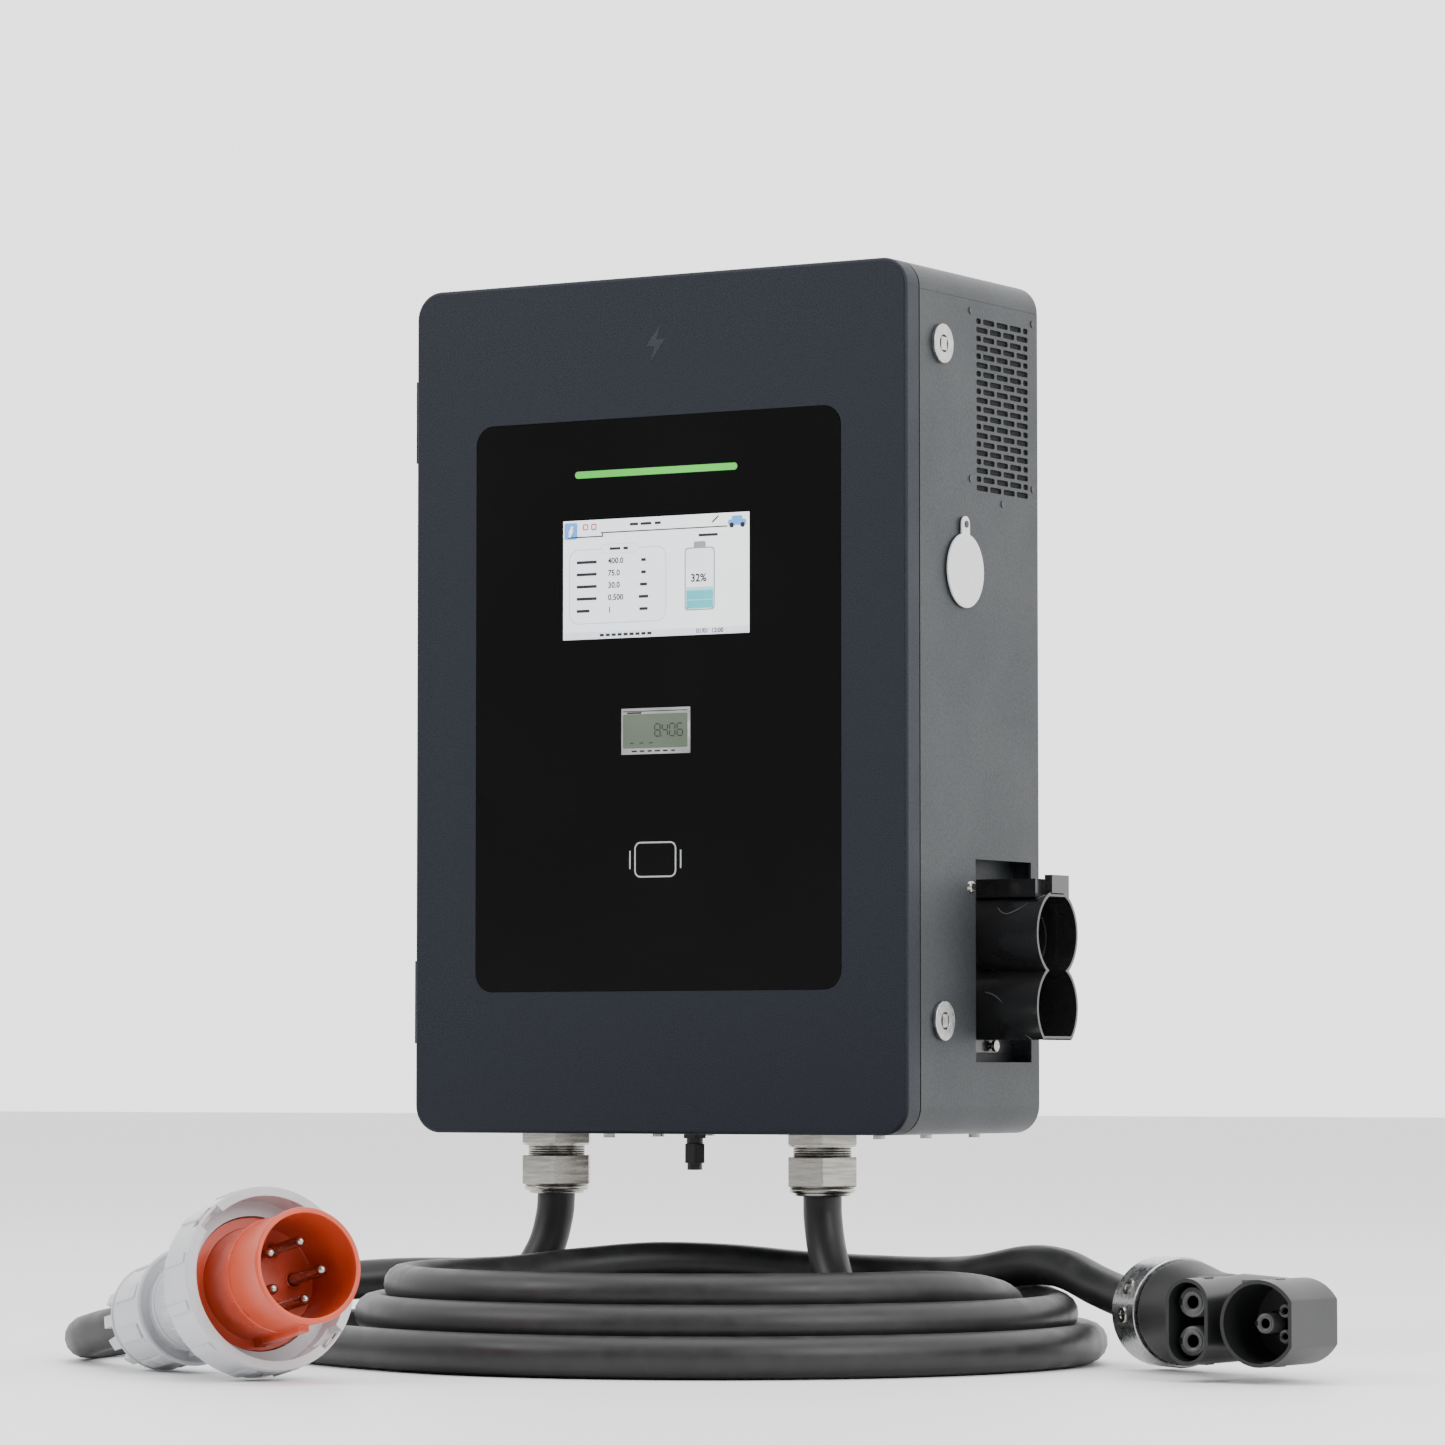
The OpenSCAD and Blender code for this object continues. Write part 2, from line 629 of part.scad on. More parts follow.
module holster_body() color([0.08, 0.08, 0.08]) {
    difference() {
        union() {
            along_x(holster_x0, holster_x1) holster_outline(0);
            block([flange_x - 1, window_y[0] + 1, holster_low_z - 32],
                  [flange_x + 2, window_y[1] - 1, holster_top_z + 39]);
            block([flange_x, holster_y - 22, holster_top_z + 26],
                  [holster_x1 - 6, holster_y + 14, holster_top_z + 39]);
            block([holster_x1 - 6, holster_y - 8, holster_top_z + 26],
                  [holster_x1, holster_y + 18, holster_top_z + 42]);
        }
        along_x(holster_x0 + 3, holster_x1 + 1) holster_outline(holster_wall);
        for (p = holster_screws)
            rod_x([flange_x - 4, p[0], p[1]], 4 + panel_gap, 8);
    }
    along_x(holster_x0 + 3 - eps, holster_x1 - 20) difference() {
        inner_tube_outline(inner_tube_r);
        inner_tube_outline(inner_tube_r - 2);
    }
}

module service_port() color("black") {
    difference() {
        union() {
            rod_x([x_in - 3, pivot_y, cover_z], port_d + 12, 3);
            rod_x([x_in - 20, pivot_y, cover_z], port_d, 20 + sheet_t);
        }
        rod_x([x_in - 16, pivot_y, cover_z], port_d - 5, 20);
    }
    block([x_in - 16 - eps, pivot_y - 8, cover_z - 7], [x_in - 5, pivot_y + 8, cover_z + 7]);
}

module swing_cover() color("gainsboro") translate([half_w + cover_gap, pivot_y, pivot_z]) difference() {
    union() {
        rod_x([0, 0, -cover_arm], cover_d, cover_t, 96);
        rod_x([0, 0, 0], 11.5, cover_t);
        block([0, -5.75, -cover_arm], [cover_t, 5.75, 0]);
    }
    rod_x([-1, 0, 0], 3 + 2 * run_gap, cover_t + 2);
}

// ---- underside ----

module gland_bodies() color("silver") for (x = gland_x) translate([x, gland_y, -half_h]) difference() {
    union() {
        hex_z([0, 0, -8], gland_af, 8);
        rod_z([0, 0, -30], gland_d, 42);
        rod_z([0, 0, -9.5], gland_d + 8, 1.6);
    }
    rod_z([0, 0, -31], gland_d - 8, 44);
}

module gland_nuts() color("silver") for (x = gland_x) translate([x, gland_y, -half_h]) difference() {
    union() {
        hex_z([0, 0, -gland_len + 6], gland_af, gland_len - 23);
        translate([0, 0, -gland_len]) cylinder(d1 = gland_d, d2 = gland_af - 2, h = 6);
    }
    rod_z([0, 0, -gland_len + 8], gland_d + 0.4, gland_len);
    rod_z([0, 0, -gland_len - 1], cable_d + 2.4, 20);
}

module gland_seals() color("black") for (x = gland_x)
    rod_z([x, gland_y, -half_h - gland_len], cable_d + 2, gland_len - 6);

module network_gland() color("black") translate([net_x, gland_y, -half_h]) {
    hex_z([0, 0, -4], 16, 4);
    rod_z([0, 0, -9], 12, 21);
    hex_z([0, 0, -22], 14, 14);
    rod_z([0, 0, -27], 11, 6);
    hex_z([0, 0, sheet_t], 16, 4);
}

// ---- door ----

module door_shell() color([0.12, 0.15, 0.21]) {
    along_y(y_front, y_front + sheet_t) difference() {
        case_outline();
        translate([0, fascia_z])
            round_rect(fascia_w + 2 * inset_gap, fascia_h + 2 * inset_gap, fascia_r + inset_gap);
    }
    along_y(y_front + sheet_t - eps, y_door) shell_outline();
}

module fascia_frame() color("black") translate([0, 0, fascia_z]) {
    seat_y = y_front + fascia_t;
    difference() {
        along_y(y_front + sheet_t, seat_y + 2)
            square([fascia_w + 2 * fascia_out, fascia_h + 2 * fascia_out], center = true);
        along_y(y_front, seat_y) square([fascia_w + 1, fascia_h + 1], center = true);
        along_y(y_front, seat_y + 3) square([fascia_w - 20, fascia_h - 20], center = true);
    }
}

// The windows in the fascia: light bar, display and meter
module fascia_windows(grow) {
    translate([0, led_z]) round_rect(led_w + 2 * grow, led_h + 2 * grow, led_h / 2 + grow - 0.1);
    translate([0, display_z]) square([display_w + 2 * grow, display_h + 2 * grow], center = true);
    translate([0, meter_z]) square([meter_w + 2 * grow, meter_h + 2 * grow], center = true);
}

module fascia_panel() color("black") along_y(y_front, y_front + fascia_t) difference() {
    translate([0, fascia_z]) round_rect(fascia_w, fascia_h, fascia_r);
    fascia_windows(0.1);
}

module led_lens() color("limegreen") along_y(y_front, y_front + fascia_t + 1)
    translate([0, led_z]) round_rect(led_w, led_h, led_h / 2 - 0.1);

module display_glass() color("white") along_y(y_front, y_front + glass_t)
    translate([0, display_z]) square([display_w, display_h], center = true);

module display_module() color("dimgray") translate([0, 0, display_z]) {
    seat_y = y_front + fascia_t;
    along_y(y_front + glass_t, seat_y + eps) square([display_w, display_h], center = true);
    along_y(seat_y, seat_y + 14) square([display_w + 24, display_h + 26], center = true);
    along_y(seat_y + 14 - eps, seat_y + 20) square([display_w - 40, display_h - 20], center = true);
}

module energy_meter() color([0.75, 0.78, 0.74]) translate([0, 0, meter_z]) {
    seat_y = y_front + fascia_t;
    along_y(y_front + 0.5, seat_y + eps) square([meter_w, meter_h], center = true);
    along_y(seat_y, seat_y + 26) square([meter_w + 14, meter_h + 34], center = true);
}

module interface_boards() color("darkgreen") {
    seat_y = y_front + fascia_t;
    translate([0, 0, led_z]) along_y(seat_y + 1, seat_y + 3) square([led_w + 30, 20], center = true);
    for (x = [-1, 1]) rod_y([x * (led_w / 2 + 8), seat_y, led_z], 5, 1 + eps, 24);
    translate([0, 0, card_z]) {
        along_y(seat_y + 4, seat_y + 6) square([80, 60], center = true);
        for (x = [-1, 1], z = [-1, 1]) rod_y([x * 35, seat_y, z * 25], 5, 4 + eps, 24);
    }
}

// Hook on the door that a cam locks behind: foot on the door skin, arm and end tab
module latch_strikes() color("silver") for (i = [0, 1]) {
    s = lock_side[i];
    z_far = cam_w / 2 + 28;
    z_near = cam_w / 2 + 10;
    lo = lock_z[i] + (s > 0 ? z_near : -z_far);
    hi = lock_z[i] + (s > 0 ? z_far : -z_near);
    arm_x = cam_x - 6;
    tab_y = lock_y + cam_w / 2 + 2;
    block([arm_x, y_front + sheet_t, lo], [arm_x + 14, y_front + sheet_t + 2, hi]);
    block([arm_x, y_front + sheet_t, lo], [arm_x + 2, tab_y + 2, hi]);
    block([arm_x, tab_y, lo], [arm_x + 11, tab_y + 2, hi]);
}

// ---- five-pin plug, built along +Z from its nut end ----

module place_plug() translate([plug_at[0], plug_at[1], floor_z + plug_at[2]])
    rotate([0, 90 - plug_tilt, plug_turn]) children();

module plug_nut() color("lightgray") place_plug() difference() {
    union() {
        rod_z([0, 0, 24], plug_nut_d, 42);
        for (i = [0:11]) rotate(i * 30) block([plug_nut_d / 2 - 10, -4, 4], [plug_nut_d / 2 - 4, 4, 25]);
        rod_z([0, 0, 14], plug_nut_d - 14, 12);
    }
    rod_z([0, 0, -1], cord_hole_d, 40);
    rod_z([0, 0, 40 - eps], plug_nut_d - 12, 30);
}

module plug_body() color("lightgray") place_plug() difference() {
    union() {
        rod_z([0, 0, 41], plug_nut_d - 12.4, 26);
        rod_z([0, 0, 66.2], plug_nut_d + 6, 5);
        translate([0, 0, 71]) cylinder(d1 = 62, d2 = 58, h = 30);
        translate([0, 0, 101]) cylinder(d1 = 58, d2 = neck_d, h = 41);
        rod_z([0, 0, 142], neck_d, 20);
        block([24, -5, 74], [34, 5, 132]);
    }
    rod_z([0, 0, 40], cord_hole_d, 70);
    rod_z([0, 0, 150], sleeve_d - 6, 20);
}

module plug_sleeve() color([0.85, 0.25, 0.12]) place_plug() difference() {
    union() {
        rod_z([0, 0, 162], sleeve_d, mouth - 162);
        rod_z([0, 0, 162], neck_d + 2, 6);
        rod_z([0, 0, 155], sleeve_d - 6.6, 8);
        block([sleeve_d / 2 - 1, -4, 168], [sleeve_d / 2 + 4, 4, mouth - 14]);
    }
    rod_z([0, 0, 184], sleeve_d - 6, mouth);
    for (i = [0:4]) rotate(90 + i * 72) rod_z([20, 0, 160], i == 0 ? 8 : 7, 40);
}

module plug_pins() color("silver") place_plug() for (i = [0:4]) rotate(90 + i * 72) {
    rod_z([20, 0, 164], i == 0 ? 8 : 7, 60);
    translate([20, 0, 224]) sphere(d = i == 0 ? 8 : 7);
}

module plug_ring() color("whitesmoke") place_plug() difference() {
    union() {
        rod_z([0, 0, ring_lo], ring_d, ring_hi - ring_lo, 96);
        translate([0, 0, ring_lo - 10]) cylinder(d1 = neck_d + 10, d2 = ring_d - 6, h = 10);
    }
    rod_z([0, 0, ring_lo - 11], neck_d + 1, 12);
    rod_z([0, 0, ring_lo - 2], neck_d + 3, 16);
    rod_z([0, 0, ring_lo + 13], ring_d - 12, 40);
    for (i = [0, 1]) rotate(45 + i * 180)
        block([neck_d / 2 + 2, -9, ring_lo + 24], [ring_d, 9, ring_hi + 1]);
}

// ---- vehicle connector ----

module place_gun() translate([gun_at[0], gun_at[1], floor_z + gun_at[2]])
    rotate([0, 0, gun_turn - lean]) children();

module pill_outline(r) {
    for (z = [-1, 1]) translate([lower_y, z * pill_half]) circle(r);
    translate([lower_y - r, -pill_half]) square([2 * r, 2 * pill_half]);
}

module shroud_outline(r) intersection() {
    translate([shroud_y, 0]) circle(r);
    translate([shroud_y - 4, 0]) square([2 * r, 2 * r], center = true);
}

// Disc across the handle at distance s from the tail
module handle_disc(s, d) translate(on_handle(s)) rotate([0, 90, lean]) cylinder(d = d, h = 4, $fn = 24);

module gun_neck() hull() {
    rod_x([face_x - 62, shroud_y - 4, 0], shroud_d - 2, 4, 24);
    rod_x([face_x - 62, lower_y, 0], 50, 4, 24);
    handle_disc(head_s - 26, 58);
}

module gun_head() color("dimgray") place_gun() {
    difference() {
        union() {
            along_x(face_x - 62, face_x) shroud_outline(shroud_d / 2);
            along_x(face_x - 62, face_x) pill_outline(pill_r);
            gun_neck();
        }
        along_x(face_x - 46, face_x + 1) shroud_outline(shroud_d / 2 - 2.5);
        along_x(face_x - 46, face_x + 1) pill_outline(pill_r - 2.5);
    }
}

module gun_contacts() color([0.1, 0.1, 0.1]) place_gun() difference() {
    union() {
        along_x(face_x - 46, face_x - 6) shroud_outline(17);
        for (z = [-1, 1]) rod_x([face_x - 46, lower_y, z * pill_half], 17, 38);
    }
    for (z = [-1, 1]) rod_x([face_x - 32, lower_y, z * pill_half], power_bore_d, 40);
    rod_x([face_x - 20, shroud_y, 0], 7, 40);
    for (z = [-1, 1]) {
        rod_x([face_x - 20, shroud_y, z * 10.5], 6, 40);
        rod_x([face_x - 20, shroud_y + 8, z * 6], 4, 40);
        rod_x([face_x - 20, shroud_y - 9, z * 6], 6, 40);
    }
}

module gun_grip() color([0.14, 0.14, 0.14]) place_gun() difference() {
    union() {
        hull() {
            handle_disc(collar_len, collar_d - 2);
            handle_disc(collar_len + 45, 60);
        }
        hull() {
            handle_disc(collar_len + 45, 60);
            handle_disc(head_s - 30, 56);
        }
        for (i = [0:2]) hull() for (p = [guard[i], guard[i + 1]])
            translate(p - [0, 0, 14]) cylinder(d = 9, h = 28, $fn = 16);
    }
    gun_neck();
    translate(on_handle(collar_len - 1)) rotate([0, 90, lean]) rod_z([0, 0, 0], cord_hole_d, 108 - collar_len);
}

module gun_collar() color("silver") place_gun() rotate([0, 90, lean]) difference() {
    rod_z([0, 0, 0], collar_d, collar_len);
    rod_z([0, 0, -1], cord_hole_d, 8);
    rod_z([0, 0, 6], collar_d - 8, collar_len);
}

// ---- cords ----

module turn_outline(turns) hull() for (t = turns)
    translate([coil_r - t[0] * turn_gap / 2, cable_d / 2 + t[1] * layer_h])
        circle(d = cable_d - 0.2, $fn = 20);

module coil(turns) translate([coil_x, coil_y, floor_z]) rotate_extrude($fn = 72) turn_outline(turns);

module input_coil() color([0.1, 0.1, 0.1]) coil([[0, 0], [2, 0], [1, 1]]);
module output_coil() color([0.1, 0.1, 0.1]) coil([[4, 0], [2, 2]]);
module input_cord() color([0.1, 0.1, 0.1]) {
    tube(lift(input_in), cable_d);
    tube(lift(input_out), cable_d);
}
module output_cord() color([0.1, 0.1, 0.1]) {
    tube(lift(output_in), cable_d);
    tube(lift(output_out), cable_d);
}

wall_bracket();
back_panel();
side_panel_left();
side_panel_right();
top_cover();
bottom_cover();
front_frame();
door_gasket();
case_screws();
black_screws();
hinge_leaves_cabinet();
hinge_pins();
lock_housings();
panel_nuts();
air_filters();
fan_housing();
equipment_plate();
power_module();
control_board();
dc_contactors();
din_rail();
main_breaker();
terminal_block();
holster_bracket();
holster_body();
gland_bodies();
gland_seals();
gland_nuts();
network_gland();
service_port();
door_shell();
hinge_leaves_door();
fascia_frame();
fascia_panel();
led_lens();
display_module();
display_glass();
energy_meter();
interface_boards();
latch_strikes();
lock_core(0);  // lock_core_upper
lock_core(1);  // lock_core_lower
swing_cover();
fan_rotor(0);  // fan_rotor_upper
fan_rotor(1);  // fan_rotor_lower
breaker_toggle();
plug_body();
plug_nut();
plug_sleeve();
plug_pins();
plug_ring();
gun_head();
gun_contacts();
gun_grip();
gun_collar();
input_cord();
input_coil();
output_cord();
output_coil();
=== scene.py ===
# Wall-mounted DC charger: finishes, cables and fine detail over the fixed frame
import math
import bpy
import bmesh
from mathutils import Matrix, Vector
from mathutils.bvhtree import BVHTree


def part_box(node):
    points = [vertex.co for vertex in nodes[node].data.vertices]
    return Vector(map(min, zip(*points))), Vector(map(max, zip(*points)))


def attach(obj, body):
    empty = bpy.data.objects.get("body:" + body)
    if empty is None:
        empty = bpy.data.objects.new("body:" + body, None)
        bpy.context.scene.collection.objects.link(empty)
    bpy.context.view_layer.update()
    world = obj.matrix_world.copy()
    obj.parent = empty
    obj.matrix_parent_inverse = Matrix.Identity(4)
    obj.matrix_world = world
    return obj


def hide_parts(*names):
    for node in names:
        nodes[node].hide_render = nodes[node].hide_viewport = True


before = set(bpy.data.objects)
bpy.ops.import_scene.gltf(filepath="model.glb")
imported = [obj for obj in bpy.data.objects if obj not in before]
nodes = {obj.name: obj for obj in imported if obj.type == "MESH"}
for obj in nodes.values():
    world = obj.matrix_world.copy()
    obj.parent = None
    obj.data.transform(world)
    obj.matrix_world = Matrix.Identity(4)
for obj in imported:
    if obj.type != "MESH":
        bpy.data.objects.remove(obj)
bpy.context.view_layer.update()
print("frame loaded")

# ---- camera ----

cameraSetup = {"place": (2.2488, -3.8847, -0.2625), "turn": 30.8, "pitch": 3.297, "lens": 150.6}


def makeCamera():
    data = bpy.data.cameras.new("camera")
    data.lens = cameraSetup["lens"]
    data.sensor_width = 36
    data.clip_end = 60
    camera = bpy.data.objects.new("camera", data)
    camera.location = cameraSetup["place"]
    camera.rotation_euler = (math.radians(90 + cameraSetup["pitch"]), 0, math.radians(cameraSetup["turn"]))
    bpy.context.collection.objects.link(camera)
    bpy.context.scene.camera = camera


makeCamera()

# ---- shared helpers ----

def smoothStep(u):
    u = min(max(u, 0.0), 1.0)
    return u * u * (3 - 2 * u)


def hump(x, middle, halfWidth):
    gap = abs(x - middle) / halfWidth
    return 0 if gap >= 1 else 0.5 * (1 + math.cos(math.pi * gap))


def startMaterial(name):
    material = bpy.data.materials.new(name)
    material.use_nodes = True
    tree = material.node_tree
    return material, tree, tree.nodes["Principled BSDF"]


def setShader(shader, **values):
    for name, value in values.items():
        shader.inputs[name.replace("_", " ")].default_value = value


def makeNoise(tree, scale, detail=2.0, stretch=(1, 1, 1)):
    place = tree.nodes.new("ShaderNodeTexCoord")
    mapping = tree.nodes.new("ShaderNodeMapping")
    mapping.inputs["Scale"].default_value = stretch
    noise = tree.nodes.new("ShaderNodeTexNoise")
    noise.inputs["Scale"].default_value = scale
    noise.inputs["Detail"].default_value = detail
    tree.links.new(place.outputs["Object"], mapping.inputs["Vector"])
    tree.links.new(mapping.outputs["Vector"], noise.inputs["Vector"])
    return noise.outputs["Fac"]


def remap(tree, source, low, high, fromLow=0.3, fromHigh=0.7):
    ramp = tree.nodes.new("ShaderNodeMapRange")
    for name, value in (("From Min", fromLow), ("From Max", fromHigh), ("To Min", low), ("To Max", high)):
        ramp.inputs[name].default_value = value
    tree.links.new(source, ramp.inputs["Value"])
    return ramp.outputs["Result"]


def addBump(tree, shader, source, strength, distance):
    bump = tree.nodes.new("ShaderNodeBump")
    bump.inputs["Strength"].default_value = strength
    bump.inputs["Distance"].default_value = distance
    tree.links.new(source, bump.inputs["Height"])
    tree.links.new(bump.outputs["Normal"], shader.inputs["Normal"])


def mixColors(tree, source, dark, light):
    mix = tree.nodes.new("ShaderNodeMix")
    mix.data_type = "RGBA"
    mix.inputs["A"].default_value = (*dark, 1)
    mix.inputs["B"].default_value = (*light, 1)
    tree.links.new(source, mix.inputs["Factor"])
    return mix.outputs["Result"]


# ---- finishes ----

# Powder coat: a fine orange-peel skin with small dark and light specks
def powderCoat(name, look):
    material, tree, shader = startMaterial(name)
    fleck = makeNoise(tree, look["grain"], 3)
    tree.links.new(mixColors(tree, remap(tree, fleck, 0, 1, 0.36, 0.64), look["dark"], look["light"]),
                   shader.inputs["Base Color"])
    tree.links.new(remap(tree, makeNoise(tree, 14, 4), look["rough"] - 0.04, look["rough"] + 0.04),
                   shader.inputs["Roughness"])
    addBump(tree, shader, fleck, look["depth"], 0.0005)
    setShader(shader, Metallic=look.get("metal", 0.0), Specular_IOR_Level=look.get("sheen", 0.5))
    return material


# Moulded plastic: faint spark-eroded grain and slightly uneven gloss
def mouldedPlastic(name, look):
    material, tree, shader = startMaterial(name)
    wide = makeNoise(tree, 22, 4)
    tree.links.new(mixColors(tree, remap(tree, wide, 0, 1), look["dark"], look["light"]),
                   shader.inputs["Base Color"])
    tree.links.new(remap(tree, wide, look["rough"] - 0.05, look["rough"] + 0.05), shader.inputs["Roughness"])
    addBump(tree, shader, makeNoise(tree, look.get("grain", 1400), 2), look.get("depth", 0.12), 0.0003)
    setShader(shader, Specular_IOR_Level=look.get("sheen", 0.45), Coat_Weight=look.get("coat", 0.0),
              Coat_Roughness=0.12)
    return material


# Metal drawn or turned in one direction, so that its scratches run along it
def brushedMetal(name, look):
    material, tree, shader = startMaterial(name)
    streak = makeNoise(tree, 90, 3, look["stretch"])
    tree.links.new(mixColors(tree, remap(tree, streak, 0, 1), look["dark"], look["light"]),
                   shader.inputs["Base Color"])
    tree.links.new(remap(tree, streak, look["rough"] - 0.07, look["rough"] + 0.07), shader.inputs["Roughness"])
    addBump(tree, shader, streak, look.get("grainDepth", 0.05), 0.0002)
    setShader(shader, Metallic=1.0)
    return material


# Cable sheath: matte black with fine scuffs and a dusting of wear
def cableSheath(name, look):
    material, tree, shader = startMaterial(name)
    scuff = makeNoise(tree, 60, 6)
    tree.links.new(mixColors(tree, remap(tree, scuff, 0, 1, 0.4, 0.75), look["dark"], look["light"]),
                   shader.inputs["Base Color"])
    tree.links.new(remap(tree, scuff, look["rough"] - 0.05, look["rough"] + 0.08), shader.inputs["Roughness"])
    addBump(tree, shader, makeNoise(tree, 900, 3), 0.16, 0.0004)
    setShader(shader, Specular_IOR_Level=0.42)
    return material


# Deep gloss sheet with only a trace of handling marks
def glossSheet(name, look):
    material, tree, shader = startMaterial(name)
    smear = makeNoise(tree, 9, 5)
    tree.links.new(remap(tree, smear, look["rough"], look["rough"] + 0.06, 0.45, 0.8), shader.inputs["Roughness"])
    addBump(tree, shader, makeNoise(tree, 6, 1), 0.02, 0.0004)
    setShader(shader, Base_Color=(*look["color"], 1), IOR=1.45, Specular_IOR_Level=look.get("sheen", 0.4))
    return material


# Something lit from behind, with a soft fall-off across its face
def litPanel(name, look):
    material, tree, shader = startMaterial(name)
    glow = mixColors(tree, remap(tree, makeNoise(tree, look["spread"], 1), 0, 1), look["dark"], look["light"])
    tree.links.new(glow, shader.inputs["Base Color"])
    tree.links.new(glow, shader.inputs["Emission Color"])
    setShader(shader, Emission_Strength=look["glow"], Roughness=look["rough"])
    return material


# Open foam: deep random cells
def openFoam(name, look):
    material, tree, shader = startMaterial(name)
    cells = makeNoise(tree, 520, 2)
    tree.links.new(mixColors(tree, remap(tree, cells, 0, 1), look["dark"], look["light"]),
                   shader.inputs["Base Color"])
    addBump(tree, shader, cells, 0.9, 0.0012)
    setShader(shader, Roughness=0.95)
    return material


# Circuit board: solder mask with paler traces
def circuitBoard(name, look):
    material, tree, shader = startMaterial(name)
    place = tree.nodes.new("ShaderNodeTexCoord")
    traces = tree.nodes.new("ShaderNodeTexBrick")
    traces.inputs["Scale"].default_value = 60
    traces.inputs["Mortar Size"].default_value = 0.03
    for socket, value in (("Color1", look["dark"]), ("Color2", look["dark"]), ("Mortar", look["light"])):
        traces.inputs[socket].default_value = (*value, 1)
    turn = tree.nodes.new("ShaderNodeMapping")
    turn.inputs["Rotation"].default_value = (math.radians(90), 0, 0)
    tree.links.new(place.outputs["Object"], turn.inputs["Vector"])
    tree.links.new(turn.outputs["Vector"], traces.inputs["Vector"])
    tree.links.new(traces.outputs["Color"], shader.inputs["Base Color"])
    setShader(shader, Roughness=0.35)
    return material


